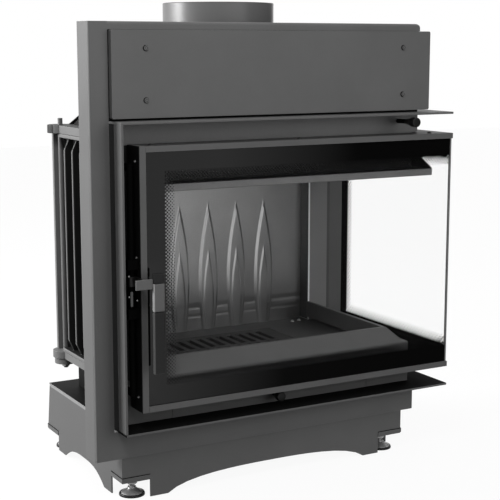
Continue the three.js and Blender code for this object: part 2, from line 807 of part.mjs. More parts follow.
// Latch: shaft with two hooks, its bearings, the strikes and the handle
function addLatch() {
  const bottom = doorBottom + latchShaftInset;
  const top = doorTop - latchShaftInset;
  const clawBack = latchY + hookReach;
  const hook = (z) => join(
    block([latchX - hookArmWidth, latchX], [latchY, clawBack], [z, z + hookHeight]),
    block([latchX - hookClawLength, latchX], [clawBack - hookClawThickness, clawBack], [z, z + hookHeight]));
  const shaft = bar('z', latchShaftRadius, [latchX, latchY], bottom, top, 16);
  add('latch_shaft', join(shaft, hook(bottom), hook(top - hookHeight)), brightSteel());
  const strikeX = [sleeveLeft + sleeveSheet, sleeveLeft + sleeveSheet + strikeWidth];
  const strikeBack = clawBack - hookClawThickness - strikeGap;
  const strikeY = [strikeBack - strikeDepth, strikeBack];
  for (const [place, z] of Object.entries({ lower: bottom, upper: top - hookHeight })) {
    add(`strike_${place}`, block(strikeX, strikeY, [z, z + hookHeight]), brightSteel());
  }
  const reach = latchShaftRadius + bearingWall;
  const plateTop = lockPlateLevel + lockPlateHeight;
  const plate = block([doorLeft - lockPlateThickness, doorLeft], [latchY - reach, doorBack],
    [lockPlateLevel - bearingHeight, plateTop + bearingHeight]);
  const bearings = [lockPlateLevel - bearingHeight, plateTop].map((z) => block([latchX - reach, doorLeft],
    [latchY - reach, latchY + reach], [z, z + bearingHeight]));
  const bore = bar('z', latchShaftRadius + runGap, [latchX, latchY], lockPlateLevel - bearingHeight - overrun,
    plateTop + bearingHeight + overrun, 16);
  const slot = block([doorLeft - lockPlateThickness - overrun, doorLeft + overrun],
    [latchY + reach + hookArmWidth, latchY + reach + hookArmWidth + hookArmWidth],
    [lockPlateLevel + hookHeight, lockPlateLevel + hookHeight + hookHeight]);
  const notch = block([doorLeft - lockPlateThickness - overrun, doorLeft + overrun],
    [latchY - reach - overrun, latchY + handleHubRadius],
    [handleArmLevel - armNotchGap, handleArmLevel + handleArmHeight + armNotchGap]);
  add('latch_case', cut(join(plate, ...bearings), bore, slot, notch), blackPaint());
}

function addHandle() {
  const gripBack = doorFront - gripProud;
  const gripFront = gripBack - gripDepth;
  const right = doorLeft + gripRight;
  const left = right - gripWidth;
  const armZ = [handleArmLevel, handleArmLevel + handleArmHeight];
  const armY = [gripFront + handleArmSet, gripFront + handleArmSet + handleArmThickness];
  const legRight = latchX + handleHubRadius;
  const hub = bar('z', handleHubRadius, [latchX, latchY], armZ[0], armZ[1], 20);
  const leg = block([legRight - handleLegThickness, legRight], [armY[0], latchY], armZ);
  const reach = block([doorLeft - handleArmReach, left - seatGap], armY, armZ);
  const bore = bar('z', latchShaftRadius + seatGap, [latchX, latchY], armZ[0] - overrun, armZ[1] + overrun, 16);
  add('handle_arm', cut(join(hub, leg, reach), bore), graphitePaint());
  const capBottom = gripTop - gripCapHeight;
  const sleeveBottom = capBottom - gripSleeveHeight;
  const gripBottom = sleeveBottom - gripLength;
  const section = roundedRectangle(left, right, gripFront, gripBack, gripCornerRadius);
  add('handle_cap', plateXY(section, capBottom + seatGap, gripTop, 3), blackPaint());
  add('handle_sleeve', plateXY(section, sleeveBottom + seatGap, capBottom, 3), graphitePaint());
  add('handle_grip', plateXY(section, gripBottom, sleeveBottom, 3), blackPaint());
}

// Castings of the fire chamber
function ear(x, y, z0, z1) {
  return bar('z', earRadius, [x, y], z0, z1, 24);
}

const rearEarY = bodyBack + rearRibDepth - earRadius;
const leftEarX = bodyLeft + earInset;
const rightEarX = bodyInnerRight - seatGap - earRadius;
const tieRodPlaces = {
  left: [leftEarX, rearEarY],
  right: [rightEarX, rearEarY],
};

function tieRodHoles(z0, z1) {
  return Object.values(tieRodPlaces).map((p) => bar('z', tieRodRadius + runGap, p, z0 - overrun, z1 + overrun));
}

function addCastPlates() {
  const span = [[bodyLeft, bodyInnerRight - seatGap], [bodyInnerFront + seatGap, bodyBack - castWall / 2]];
  const ears = (z0, z1) => Object.values(tieRodPlaces).map((p) => ear(p[0], p[1], z0, z1));
  const grateX = [fireCentreX - grateWidth / 2, fireCentreX + grateWidth / 2];
  const grateY = [grateFront, grateFront + grateDepth];
  const pad = block([leftWallInner + seatGap, bodyInnerRight - seatGap], [bodyInnerFront + seatGap, backWallFront - seatGap],
    [hearthTop - seatGap, fireFloor]);
  const seat = block([grateX[0] - seatGap, grateX[1] + seatGap], [grateY[0] - seatGap, grateY[1] + seatGap],
    [fireFloor - grateThickness, fireFloor + overrun]);
  const drop = block([grateX[0] + grateLedge, grateX[1] - grateLedge], [grateY[0] + grateLedge, grateY[1] - grateLedge],
    [hearthBottom - overrun, fireFloor + overrun]);
  const bossBottom = hearthBottom - earBossDrop;
  const bosses = Object.values(tieRodPlaces).map((p) => bar('z', earBossRadius, p, bossBottom, hearthTop, 24));
  add('hearth_casting', cut(join(block(...span, [hearthBottom, hearthTop]), pad, ...bosses,
    ...ears(hearthBottom, hearthTop)), seat, drop, ...tieRodHoles(bossBottom, fireFloor)), castIron());
  const throatHole = block([flueX - throatHoleWidth / 2, flueX + throatHoleWidth / 2],
    [flueY - throatHoleDepth / 2, flueY + throatHoleDepth / 2], [topPlateBottom - overrun, topPlateTop + overrun]);
  add('top_casting', cut(join(block(...span, [topPlateBottom, topPlateTop]), ...ears(topPlateBottom, topPlateTop)),
    throatHole, ...tieRodHoles(topPlateBottom, topPlateTop)), castIron());
  for (const [place, p] of Object.entries(tieRodPlaces)) {
    add(`tie_rod_${place}`, bar('z', tieRodRadius, p, hearthBottom - tieRodDrop, topPlateTop + tieRodReach, 10),
      brightSteel());
  }
}

// Left wall with vertical cooling ribs, each chamfered at both ends
function addLeftWall() {
  const z0 = hearthTop;
  const z1 = topPlateBottom - seatGap;
  const wall = block([leftWallOuter, leftWallInner], [bodyInnerFront + seatGap, backWallFront - seatGap], [z0, z1]);
  const rimX = [bodyLeft, leftWallOuter + seatGap];
  const rimEnds = [bodyInnerFront + seatGap, rearEarY - earRadius / 2];
  const rims = [[z0, z0 + rimHeight], [z1 - rimHeight, z1]].map((z) => block(rimX, rimEnds, z));
  const ribs = [];
  for (let i = 0; i < ribCount; i += 1) {
    const y = rearEarY - earRadius / 2 - ribPitch * (i + 1) + ribThickness;
    const shape = outline([
      [leftWallOuter + seatGap, z0],
      [leftWallOuter - ribThickness, z0],
      [bodyLeft, z0 + ribChamfer + rimHeight],
      [bodyLeft, z1 - ribChamfer - rimHeight],
      [leftWallOuter - ribThickness, z1],
      [leftWallOuter + seatGap, z1],
    ]);
    if (y > rimEnds[0]) ribs.push(plateXZ(shape, y, y + ribThickness));
  }
  add('left_wall', join(wall, ...rims, ...ribs), castIron());
}

// Back wall with shallow ribs outside, and the edge that shows beside the tie rod
function addBackWall() {
  const z1 = topPlateBottom - seatGap;
  const z0 = hearthTop + seatGap;
  const left = bodyLeft;
  const front = backWallFront;
  const wall = block([left, bodyRight], [front, bodyBack], [z0, z1]);
  const ribs = [];
  const pitch = (bodyRight - leftWallInner) / rearRibCount;
  for (let i = 0; i < rearRibCount; i += 1) {
    const x = leftWallInner + pitch * (i + 1 / 2);
    ribs.push(block([x, x + ribThickness], [bodyBack - seatGap, bodyBack + rearRibDepth],
      [z0 + earRadius, z1 - earRadius]));
  }
  add('back_wall', join(wall, ...ribs), castIron());
}

// One raised leaf: half width along its height from a pointed tip to a narrow foot
function leafHalfWidth(t, width) {
  if (t < leafWidestShare) {
    const rising = Math.sin((Math.PI / 2) * (t / leafWidestShare));
    return (width / 2) * (leafFootShare + (1 - leafFootShare) * rising);
  }
  const falling = Math.min(1, (t - leafWidestShare) / (1 - leafWidestShare));
  return (width / 2) * Math.max(0, Math.cos((Math.PI / 2) * Math.pow(falling, leafFallShare)));
}

// A leaf as a ridged solid: outline points at the plate, a raised spine in the middle.
function leaf(x, z, height, width, rise, back) {
  const left = [];
  const right = [];
  const spine = [];
  for (let i = 0; i <= leafSteps; i += 1) {
    const t = i / leafSteps;
    const half = i === leafSteps ? 0 : leafHalfWidth(t, width);
    const level = z + height * t;
    const swell = rise * Math.sqrt(Math.max(0, (2 * half) / width));
    left.push([x - half, back, level]);
    right.push([x + half, back, level]);
    spine.push([x, back - swell, level]);
  }
  const positions = [];
  const rows = leafSteps + 1;
  for (const p of [...left, ...spine, ...right]) positions.push(...p);
  const index = [];
  for (let i = 0; i < leafSteps; i += 1) {
    const [a, b] = [i, i + 1];
    index.push(a, rows + a, rows + b, a, rows + b, b);
    index.push(rows + a, 2 * rows + a, 2 * rows + b, rows + a, 2 * rows + b, rows + b);
    index.push(2 * rows + a, a, b, 2 * rows + a, b, 2 * rows + b);
  }
  index.push(0, 2 * rows, rows);
  const geometry = new THREE.BufferGeometry();
  geometry.setAttribute('position', new THREE.Float32BufferAttribute(positions, 3));
  geometry.setIndex(index);
  return geometry;
}

function addLinings() {
  const left = leftWallInner + liningThickness + seatGap;
  const plateBack = backWallFront - seatGap;
  add('left_lining', block([leftWallInner + seatGap, left], [bodyInnerFront + seatGap, backWallFront - seatGap],
    [fireFloor, liningTop]), castIron());
  const right = columnLeft - seatGap;
  let plate = toSolid(block([left + seatGap, right], [backPlateFront, plateBack], [fireFloor, liningTop]));
  const first = fireCentreX - (leafPitch * (leafCount - 1)) / 2;
  for (let i = 0; i < leafCount; i += 1) {
    const x = first + leafPitch * i;
    const sunk = backPlateFront + seatGap;
    plate = plate.add(toSolid(leaf(x, fireFloor, leafHeight, leafWidth, leafRise, sunk)));
    plate = plate.add(toSolid(leaf(x, fireFloor, leafHeight * innerLeafHeightShare, leafWidth * innerLeafShare,
      leafRise + leafRise / 2, sunk)));
  }
  for (let i = 0; i <= leafCount; i += 1) {
    const from = i === 0 ? left + liningThickness : first + leafPitch * (i - 1) + leafWidth / 2;
    const to = i === leafCount ? right - liningThickness : first + leafPitch * i - leafWidth / 2;
    for (let k = 0; k < grooveCount; k += 1) {
      const z = fireFloor + grooveLevel + groovePitch * k;
      const depth = [backPlateFront - overrun, backPlateFront + grooveDepth];
      plate = plate.subtract(toSolid(block([from, to], depth, [z, z + grooveHeight])));
    }
  }
  for (const x of [left + seatGap + backPlateBoltInset, right - backPlateBoltInset]) {
    const place = [x, fireFloor + backPlateBoltInset];
    plate = plate.add(toSolid(bar('y', backPlateBolt, place, backPlateFront - backPlateBoltHead,
      backPlateFront + grooveDepth, 6)));
  }
  add('back_plate', fromSolid(plate), liningGrey());
  addColumnAndBaffle(left, right);
}

// Rear right column with a rounded corner, and the baffle above the fire
function addColumnAndBaffle(left, right) {
  const shape = new THREE.Shape();
  const columnRight = bodyInnerRight - seatGap;
  const columnBack = backWallFront - seatGap;
  shape.moveTo(columnLeft, columnFront);
  shape.lineTo(columnRight - columnRadius, columnFront);
  shape.absarc(columnRight - columnRadius, columnFront + columnRadius, columnRadius, -Math.PI / 2, 0);
  shape.lineTo(columnRight, columnBack);
  shape.lineTo(columnRight - castWall, columnBack);
  shape.lineTo(columnRight - castWall, columnFront + columnRadius);
  shape.lineTo(columnRight - columnRadius, columnFront + castWall);
  shape.lineTo(columnLeft + castWall, columnFront + castWall);
  shape.lineTo(columnLeft + castWall, columnBack);
  shape.lineTo(columnLeft, columnBack);
  add('rear_column', plateXY(shape, fireFloor, topPlateBottom - seatGap, 6), castIron());
  add('baffle_plate', block([leftWallInner + seatGap, right - seatGap], [baffleFront, backWallFront - seatGap],
    [liningTop, liningTop + baffleThickness]), liningGrey());
}

// A bar that turns the corner: each profile point is an outward offset and a level
function corneredBar(profile, cornerX, cornerY, leftEnd, rearEnd) {
  return loft([
    profile.map(([out, z]) => [leftEnd, cornerY - out, z]),
    profile.map(([out, z]) => [cornerX + out, cornerY - out, z]),
    profile.map(([out, z]) => [cornerX + out, rearEnd, z]),
  ]);
}

function addSillsAndThroat() {
  const low = sillTop - sillDrop;
  const sill = [
    [-sillWall, apronTop + seatGap],
    [-sillWall, sillTop],
    [0, sillTop],
    [sillSlope, low],
    [sillSlope, low - sillLip],
    [sillSlope - sillLip, apronTop + seatGap],
  ];
  const rear = columnFront - seatGap;
  add('sill', corneredBar(sill, sillRight, sillInner, sillLeft, rear), castIron());
  const lip = [
    [-throatBack, lintelBottom - throatLip],
    [throatReach, lintelBottom - throatLip],
    [throatReach, lintelBottom - seatGap],
    [-throatBack, lintelBottom - seatGap],
  ];
  add('throat_lip', corneredBar(lip, bodyRight, recessDepth, sillLeft, rear - castWall), castIron());
}

// Grate with a row of slots, and the ash pan under it
function addGrate() {
  const x0 = fireCentreX - grateWidth / 2;
  const plate = block([x0, x0 + grateWidth], [grateFront, grateFront + grateDepth],
    [fireFloor - grateThickness, fireFloor]);
  const slots = [];
  const first = x0 + grateBar + grateLedge;
  const middle = grateFront + grateDepth / 2;
  for (let x = first; x + grateSlotWidth < x0 + grateWidth - grateBar; x += grateSlotPitch) {
    const across = [x, x + grateSlotWidth];
    const through = [fireFloor - grateThickness - overrun, fireFloor + overrun];
    slots.push(block(across, [grateFront + grateBar + grateLedge, middle - grateBar / 2], through));
    slots.push(block(across, [middle + grateBar / 2, grateFront + grateDepth - grateBar - grateLedge], through));
  }
  add('grate', cut(plate, ...slots), castIron());
  const pan0 = fireCentreX - panWidth / 2;
  const bottom = pedestalHeight + panSkidHeight;
  const outer = block([pan0, pan0 + panWidth], [panFront, panFront + panDepth], [bottom, bottom + panHeight]);
  const inner = block([pan0 + panSheet, pan0 + panWidth - panSheet], [panFront + panSheet, panFront + panDepth - panSheet],
    [bottom + panSheet, bottom + panHeight + overrun]);
  const skids = [pan0, pan0 + panWidth - panSkidWidth].map((x) => block([x, x + panSkidWidth],
    [panFront, panFront + panDepth], [bottom - panSkidHeight, bottom + panSheet / 2]));
  add('ash_pan', join(cut(outer, inner), ...skids), graphitePaint());
}

// Air box under the hearth, and the air gate with its pull rod and knob
function knobProfile(neck, proud) {
  return [
    [0, 0],
    [knobRadius - knobLength / 6, 0],
    [knobRadius, knobLength / 6],
    [knobRadius, knobLength],
    [knobNeckRadius, knobLength + neck / 2],
    [pullRodRadius, knobLength + neck],
    [pullRodRadius, proud],
    [0, proud],
  ];
}

// A knob and its rod, turned about a line that runs back along Y.
function pullRod(x, z, knobFace, neck, length) {
  const points = knobProfile(neck, length).map(([r, y]) => new THREE.Vector2(r, y));
  return new THREE.LatheGeometry(points, 16).translate(x, knobFace, z);
}

function addAirControl() {
  const right = pedestalRight - airBoxInset;
  const left = pedestalInset + airBoxInset;
  const level = [pedestalHeight, hearthBottom];
  const outer = block([left, right], [airBoxFront, airBoxBack], level);
  const inner = block([left + airBoxSheet, right - airBoxSheet], [airBoxFront + airBoxSheet, airBoxBack - airBoxSheet],
    [pedestalHeight - overrun, hearthBottom + overrun]);
  const rodHole = bar('y', pullRodRadius + runGap, [airKnobX, airRodLevel], airBoxFront - overrun,
    airBoxFront + airBoxSheet + overrun);
  add('air_box', cut(outer, inner, rodHole), graphitePaint());
  const knobFace = recessDepth - airKnobProud;
  const tab = gateFront + gateThickness;
  add('air_rod', pullRod(airKnobX, airRodLevel, knobFace, airKnobNeck, gateFront - knobFace), blackPaint());
  const gate = block([airKnobX - gateWidth / 2, airKnobX + gateWidth / 2], [gateFront, gateFront + gateLength],
    [pedestalHeight + seatGap, pedestalHeight + seatGap + gateThickness]);
  const riser = block([airKnobX - knobRadius, airKnobX + knobRadius], [gateFront, tab],
    [pedestalHeight + seatGap, airRodLevel + knobRadius]);
  add('air_gate', join(gate, riser), graphitePaint());
}

// Ring of points for the hood: a rounded rectangle below, a circle above
function hoodRing(share, inset, z) {
  const sides = 32;
  const x0 = bodyLeft + hoodInsetLeft + inset;
  const x1 = bodyInnerRight - hoodInsetRight - inset;
  const y0 = hoodFront + inset;
  const y1 = hoodBack - inset;
  const radius = hoodCornerRadius;
  const ring = [];
  for (let i = 0; i < sides; i += 1) {
    const quarter = Math.floor(i / (sides / 4));
    const turn = (2 * Math.PI * (i + 1 / 2)) / sides;
    const cornerX = quarter === 0 || quarter === 3 ? x1 - radius : x0 + radius;
    const cornerY = quarter < 2 ? y1 - radius : y0 + radius;
    const local = (i - quarter * (sides / 4)) / (sides / 4 - 1);
    const angle = (Math.PI / 2) * (quarter + local);
    const base = [cornerX + radius * Math.cos(angle), cornerY + radius * Math.sin(angle)];
    const circle = [flueX + (flueRadius - inset) * Math.cos(turn), flueY + (flueRadius - inset) * Math.sin(turn)];
    ring.push([
      base[0] + (circle[0] - base[0]) * share,
      base[1] + (circle[1] - base[1]) * share,
      z,
    ]);
  }
  return ring;
}

function addHoodAndFlue() {
  const base = topPlateTop;
  const outer = loft([hoodRing(0, 0, base), hoodRing(1, 0, hoodTop)]);
  const slope = (z) => (z - base) / (hoodTop - base);
  const inner = loft([hoodRing(slope(base - overrun), hoodSheet, base - overrun),
    hoodRing(slope(hoodTop + overrun), hoodSheet, hoodTop + overrun)]);
  const shaftHole = bar('x', damperShaftRadius + runGap, [flueY, damperShaftZ], flueX - flapWidth, damperKnobX);
  add('smoke_hood', cut(outer, inner, shaftHole), graphitePaint());
  const collar = [
    [flueRadius - flueWall, hoodTop],
    [flueRadius, hoodTop],
    [flueRadius, flueTop],
    [flueRadius - flueWall, flueTop],
    [flueRadius - flueWall, hoodTop],
  ];
  add('flue_collar', turned(collar, 48, flueX, flueY), graphitePaint());
  addDamper();
}

// Damper: flap and crank on a cross shaft; a pull rod drives the crank's slotted eye
function addDamper() {
  const crankRight = damperKnobX;
  const crankLeft = crankRight - damperCrankThickness;
  const shaft = bar('x', damperShaftRadius, [flueY, damperShaftZ], flueX - flapWidth / 2 - hoodSheet,
    crankRight, 16);
  const flap = block([flueX - flapWidth / 2, flueX + flapWidth / 2],
    [flueY - flapLength / 2, flueY + flapLength / 2],
    [damperShaftZ - flapThickness / 2, damperShaftZ + flapThickness / 2]);
  const half = damperCrankWidth / 2;
  const lever = new THREE.Shape();
  lever.absarc(0, 0, half, 0, Math.PI);
  lever.absarc(0, -damperArm, half, Math.PI, 2 * Math.PI);
  lever.closePath();
  const crank = plateYZ(lever, 0, damperCrankThickness, 6);
  crank.rotateX(crankAngle).translate(crankLeft, flueY, damperShaftZ);
  const pinY = flueY + damperArm * Math.sin(crankAngle);
  const pinZ = damperShaftZ - damperArm * Math.cos(crankAngle);
  const forkLeft = crankRight + damperForkGap;
  const forkRight = forkLeft + damperForkThickness;
  const pin = bar('x', damperPinRadius, [pinY, pinZ], crankLeft, forkRight + damperForkGap, 12);
  add('damper_flap', join(shaft, flap, crank, pin), castIron());
  const knobFace = recessDepth - damperKnobProud;
  const rodEnd = knobFace + damperRodLength;
  const slotHalf = damperPinRadius + damperSlotPlay;
  const lowest = damperRodLevel + damperPinRise - slotHalf;
  const highest = pinZ + slotHalf;
  const middle = flueY + damperTravel / 2;
  const head = block([forkLeft, forkRight], [middle - slotHalf - damperForkWall, middle + slotHalf + damperForkWall],
    [lowest - damperForkWall, highest + damperForkWall]);
  const slot = block([forkLeft - overrun, forkRight + overrun], [middle - slotHalf, middle + slotHalf],
    [lowest, highest]);
  const strip = block([forkLeft, forkRight], [rodEnd - knobLength, middle - slotHalf],
    [damperRodLevel - pullRodRadius, damperRodLevel + pullRodRadius]);
  const rod = pullRod(damperKnobX, damperRodLevel, knobFace, damperKnobNeck, damperRodLength);
  add('damper_rod', join(rod, strip, cut(head, slot)), blackPaint());
}

addPedestal();
addFeet();
addFrame();
addCover();
addSleeve();
addFixedFront();
addDoorFrame();
addGlass();
addLatch();
addHandle();
addCastPlates();
addLeftWall();
addBackWall();
addLinings();
addSillsAndThroat();
addGrate();
addAirControl();
addHoodAndFlue();

// The origin goes to the middle of the bottom of the bounding box
const bounds = new THREE.Box3().setFromObject(model);
model.position.set(-(bounds.min.x + bounds.max.x) / 2, -(bounds.min.y + bounds.max.y) / 2, -bounds.min.z);

export default model;
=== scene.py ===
# %% [markdown]
# # A wood-burning fireplace insert with a corner of glass
# The part is a firebox of ribbed iron castings on a folded sheet pedestal. A sheet frame, a
# cover plate and two shelves surround its door, which is glazed at the front and at the right.
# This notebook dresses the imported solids: every piece gets its finish, its rounded edges and
# the small parts that a maker would see on it.

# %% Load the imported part
import json
import math
import bmesh
import bpy
import numpy as np
from mathutils import Euler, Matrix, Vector

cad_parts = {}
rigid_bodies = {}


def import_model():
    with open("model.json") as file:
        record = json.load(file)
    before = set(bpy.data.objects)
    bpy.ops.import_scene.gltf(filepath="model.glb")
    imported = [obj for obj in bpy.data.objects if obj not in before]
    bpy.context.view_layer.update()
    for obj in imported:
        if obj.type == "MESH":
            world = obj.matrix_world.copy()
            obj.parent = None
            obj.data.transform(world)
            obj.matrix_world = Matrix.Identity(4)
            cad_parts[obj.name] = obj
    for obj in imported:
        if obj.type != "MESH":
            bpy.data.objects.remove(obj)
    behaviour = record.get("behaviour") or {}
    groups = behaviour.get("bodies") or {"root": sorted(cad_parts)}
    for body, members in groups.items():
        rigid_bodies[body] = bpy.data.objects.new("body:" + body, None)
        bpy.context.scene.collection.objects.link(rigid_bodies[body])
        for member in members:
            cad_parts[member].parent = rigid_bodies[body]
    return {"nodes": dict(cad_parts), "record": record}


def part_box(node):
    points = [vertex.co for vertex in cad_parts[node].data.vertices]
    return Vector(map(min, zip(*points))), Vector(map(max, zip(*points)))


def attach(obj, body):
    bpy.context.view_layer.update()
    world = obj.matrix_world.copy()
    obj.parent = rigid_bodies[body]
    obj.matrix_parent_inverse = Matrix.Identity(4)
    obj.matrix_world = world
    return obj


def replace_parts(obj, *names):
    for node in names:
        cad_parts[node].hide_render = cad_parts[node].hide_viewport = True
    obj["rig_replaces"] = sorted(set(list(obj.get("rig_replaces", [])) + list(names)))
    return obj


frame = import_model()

MM = 0.001
nodes = frame["nodes"]
record = frame["record"]
body_of_node = {n: b for b, names in record["behaviour"]["bodies"].items() for n in names}
slot_of_node = {row["node"]: row["material_slot"] for row in record["subparts"]}
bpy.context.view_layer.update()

# %% [markdown]
# ## Camera, floor and light
# The photograph was taken from the left, a little above the middle, with a long lens. The
# camera stands where the straight edges of the frame say it stood. The floor and the world
# are plain and pale. Rays that the camera, metal or glass send out see white. Three cards at
# the right, which only gloss sees, fade to black and keep the panes' right half dark.

# %% Camera
CAMERA_PLACE = (-1.09685, -2.0070, 0.7665)
CAMERA_TURN = (80.57, 0.0, -29.29)
LENS = 89.2
camera = bpy.data.objects.new("camera", bpy.data.cameras.new("camera"))
bpy.context.scene.collection.objects.link(camera)
camera.location = CAMERA_PLACE
camera.rotation_euler = Euler([math.radians(a) for a in CAMERA_TURN])
camera.data.lens = LENS
camera.data.sensor_width = 36.0
bpy.context.scene.camera = camera
bpy.context.scene.view_settings.view_transform = "Standard"
print("camera at", CAMERA_PLACE, "lens", LENS)


# %% Node helpers
def linear(grey):
    """An 8-bit sRGB grey as linear light: ((g/255 + 0.055) / 1.055) to the power 2.4."""
    return ((grey / 255 + 0.055) / 1.055) ** 2.4


def neutral(level):
    """A grey colour of one linear level."""
    return (level, level, level, 1.0)


def shade(grey):
    """A neutral colour from an 8-bit grey."""
    return neutral(linear(grey))


def node(tree, kind, **values):
    """A shader node with properties or input values set by name."""
    made = tree.nodes.new(kind)
    for key, value in values.items():
        if hasattr(made, key):
            setattr(made, key, value)
        else:
            made.inputs[key.replace("_", " ")].default_value = value
    return made


def math_node(tree, operation, a, b=None, c=None, clamp=False):
    """One Math node; numbers are set on it and sockets are linked to it."""
    made = tree.nodes.new("ShaderNodeMath")
    made.operation = operation
    made.use_clamp = clamp
    for place, value in enumerate((a, b, c)):
        if value is None:
            continue
        if isinstance(value, (int, float)):
            made.inputs[place].default_value = value
        else:
            tree.links.new(value, made.inputs[place])
    return made.outputs[0]


def empty_material(name):
    """A material with one Principled shader; gives the material, its tree and the shader."""
    made = bpy.data.materials.new(name)
    made.use_nodes = True
    return made, made.node_tree, made.node_tree.nodes["Principled BSDF"]

def object_axes(tree):
    """The X, Y and Z outputs of the Object coordinates."""
    split = node(tree, "ShaderNodeSeparateXYZ")
    tree.links.new(node(tree, "ShaderNodeTexCoord").outputs["Object"], split.inputs["Vector"])
    return split.outputs


def falling(tree, value, full, none):
    """1 beyond the first value, falling straight to 0 at the second."""
    share = node(tree, "ShaderNodeMapRange", clamp=True)
    share.inputs["From Min"].default_value = none
    share.inputs["From Max"].default_value = full
    tree.links.new(value, share.inputs["Value"])
    return share.outputs["Result"]


def two_tones(tree, pattern, first, second, ends=(0.0, 1.0)):
    """A colour that runs from one to another with a pattern, between two of its values."""
    tones = node(tree, "ShaderNodeValToRGB")
    for element, position, colour in zip(tones.color_ramp.elements, ends, (first, second)):
        element.position = position
        element.color = colour
    tree.links.new(pattern, tones.inputs["Fac"])
    return tones.outputs["Color"]


def vary_roughness(tree, shader, pattern, low, high):
    """Roughness that follows a pattern from one value to another."""
    spread = node(tree, "ShaderNodeMapRange")
    spread.inputs["To Min"].default_value = low
    spread.inputs["To Max"].default_value = high
    tree.links.new(pattern, spread.inputs["Value"])
    tree.links.new(spread.outputs["Result"], shader.inputs["Roughness"])


def add_bump(tree, shader, pattern, strength, distance):
    """Bump that follows a pattern; the distance is in metres."""
    bump = node(tree, "ShaderNodeBump", Strength=strength, Distance=distance)
    tree.links.new(pattern, bump.inputs["Height"])
    tree.links.new(bump.outputs["Normal"], shader.inputs["Normal"])


def seen_directly(tree):
    """1 on rays from the camera, from gloss and through glass, else 0."""
    rays = node(tree, "ShaderNodeLightPath")
    seen = math_node(tree, "MAXIMUM", rays.outputs["Is Camera Ray"], rays.outputs["Is Glossy Ray"])
    return math_node(tree, "MAXIMUM", seen, rays.outputs["Is Transmission Ray"])


def linked_object(name, data):
    """A new object for a mesh or a lamp, in the scene and at the origin."""
    made = bpy.data.objects.new(name, data)
    bpy.context.scene.collection.objects.link(made)
    return made


def rectangle(u_start, v_start, u_end, v_end):
    """The corners of a rectangle, in order around it."""
    return [(u_start, v_start), (u_end, v_start), (u_end, v_end), (u_start, v_end)]


# %% Floor and world
FLOOR_SIZE = 14.0
FLOOR_GREY = 70
FLOOR_ROUGHNESS = 0.9
FLOOR_SHINE = 0.1
FLOOR_LIFT = 0.93
WORLD_STRENGTH = 0.21
WHITE = neutral(1.0)
BLACK = neutral(0.0)
half = FLOOR_SIZE / 2
floor_mesh = bpy.data.meshes.new("floor")
floor_mesh.from_pydata([(x, y, 0) for x, y in rectangle(-half, -half, half, half)], [], [(0, 1, 2, 3)])
floor = linked_object("floor", floor_mesh)
floor_paint, tree, shader = empty_material("pale_floor")
shader.inputs["Base Color"].default_value = shade(FLOOR_GREY)
shader.inputs["Roughness"].default_value = FLOOR_ROUGHNESS
shader.inputs["Specular IOR Level"].default_value = FLOOR_SHINE
glow = math_node(tree, "MULTIPLY", seen_directly(tree), FLOOR_LIFT)
tree.links.new(glow, shader.inputs["Emission Strength"])
shader.inputs["Emission Color"].default_value = WHITE
floor_mesh.materials.append(floor_paint)

world = bpy.data.worlds.new("studio")
bpy.context.scene.world = world
world.use_nodes = True
tree = world.node_tree
sky = tree.nodes["Background"]
sky.inputs["Color"].default_value = WHITE
tree.links.new(math_node(tree, "MAXIMUM", seen_directly(tree), WORLD_STRENGTH), sky.inputs["Strength"])


# %% Lamps
def softbox(name, place, target, size, power):
    """A square lamp at a place, turned so that it shines at a target."""
    lamp = bpy.data.lights.new(name, "AREA")
    lamp.size = size
    lamp.energy = power
    made = linked_object(name, lamp)
    made.location = place
    made.rotation_euler = (Vector(place) - Vector(target)).to_track_quat("Z", "Y").to_euler()
    return made


# Each row: name, place, target, size in metres, power in watts, and whether gloss sees it.
MIDDLE = (0.0, 0.0, 0.42)
LAMPS = [
    ("key_left", (-2.85, 1.4, 1.45), MIDDLE, 1.0, 112, True),
    ("rim_left", (-2.2, 2.2, 1.5), MIDDLE, 0.7, 42, True),
    ("fill_right", (1.5, -2.3, 1.1), (0.0, 0.0, 0.6), 2.2, 38, False),
    ("eye_left", (-0.8, -1.0, 1.6), (-0.35, -0.15, 0.72), 0.5, 12, False),
    ("top", (0.2, 0.2, 3.2), MIDDLE, 1.6, 10, True),
]
for name, place, target, size, power, in_gloss in LAMPS:
    softbox(name, place, target, size, power).visible_glossy = in_gloss

# %% Cards that only gloss sees
CARD_LEFT = 0.0
CARD_RIGHT = 3.6
CARD_FRONT = -2.3
CARD_TOP = 1.9
CARD_FOOT = 0.006
SIDE_END = 2.2
FLOOR_END = -0.5
PANE_PIVOT = (-1.1, 2.35)
PANE_FADE = (0.45, 0.575)
FLOOR_PIVOT = (-1.1, 1.633)
FLOOR_FADE = (0.46, 0.6)


def gloss_card(name, corners, pivot, white, black):
    """A card that gloss rays see. It is white where (x - pivot x) / (pivot y - y) is under
    one value and black where it is over another: the pivot is the camera's mirror image."""
    mesh = bpy.data.meshes.new(name)
    mesh.from_pydata(corners, [], [(0, 1, 2, 3)])
    card = linked_object(name, mesh)
    paint, tree, shader = empty_material(name + "_paint")
    axes = object_axes(tree)
    run = math_node(tree, "SUBTRACT", axes["X"], pivot[0])
    depth = math_node(tree, "SUBTRACT", pivot[1], axes["Y"])
    fade = falling(tree, math_node(tree, "DIVIDE", run, depth), white, black)
    tree.links.new(fade, shader.inputs["Emission Strength"])
    shader.inputs["Emission Color"].default_value = WHITE
    shader.inputs["Base Color"].default_value = BLACK
    mesh.materials.append(paint)
    for ray in ("camera", "diffuse", "transmission", "volume_scatter", "shadow"):
        setattr(card, "visible_" + ray, False)


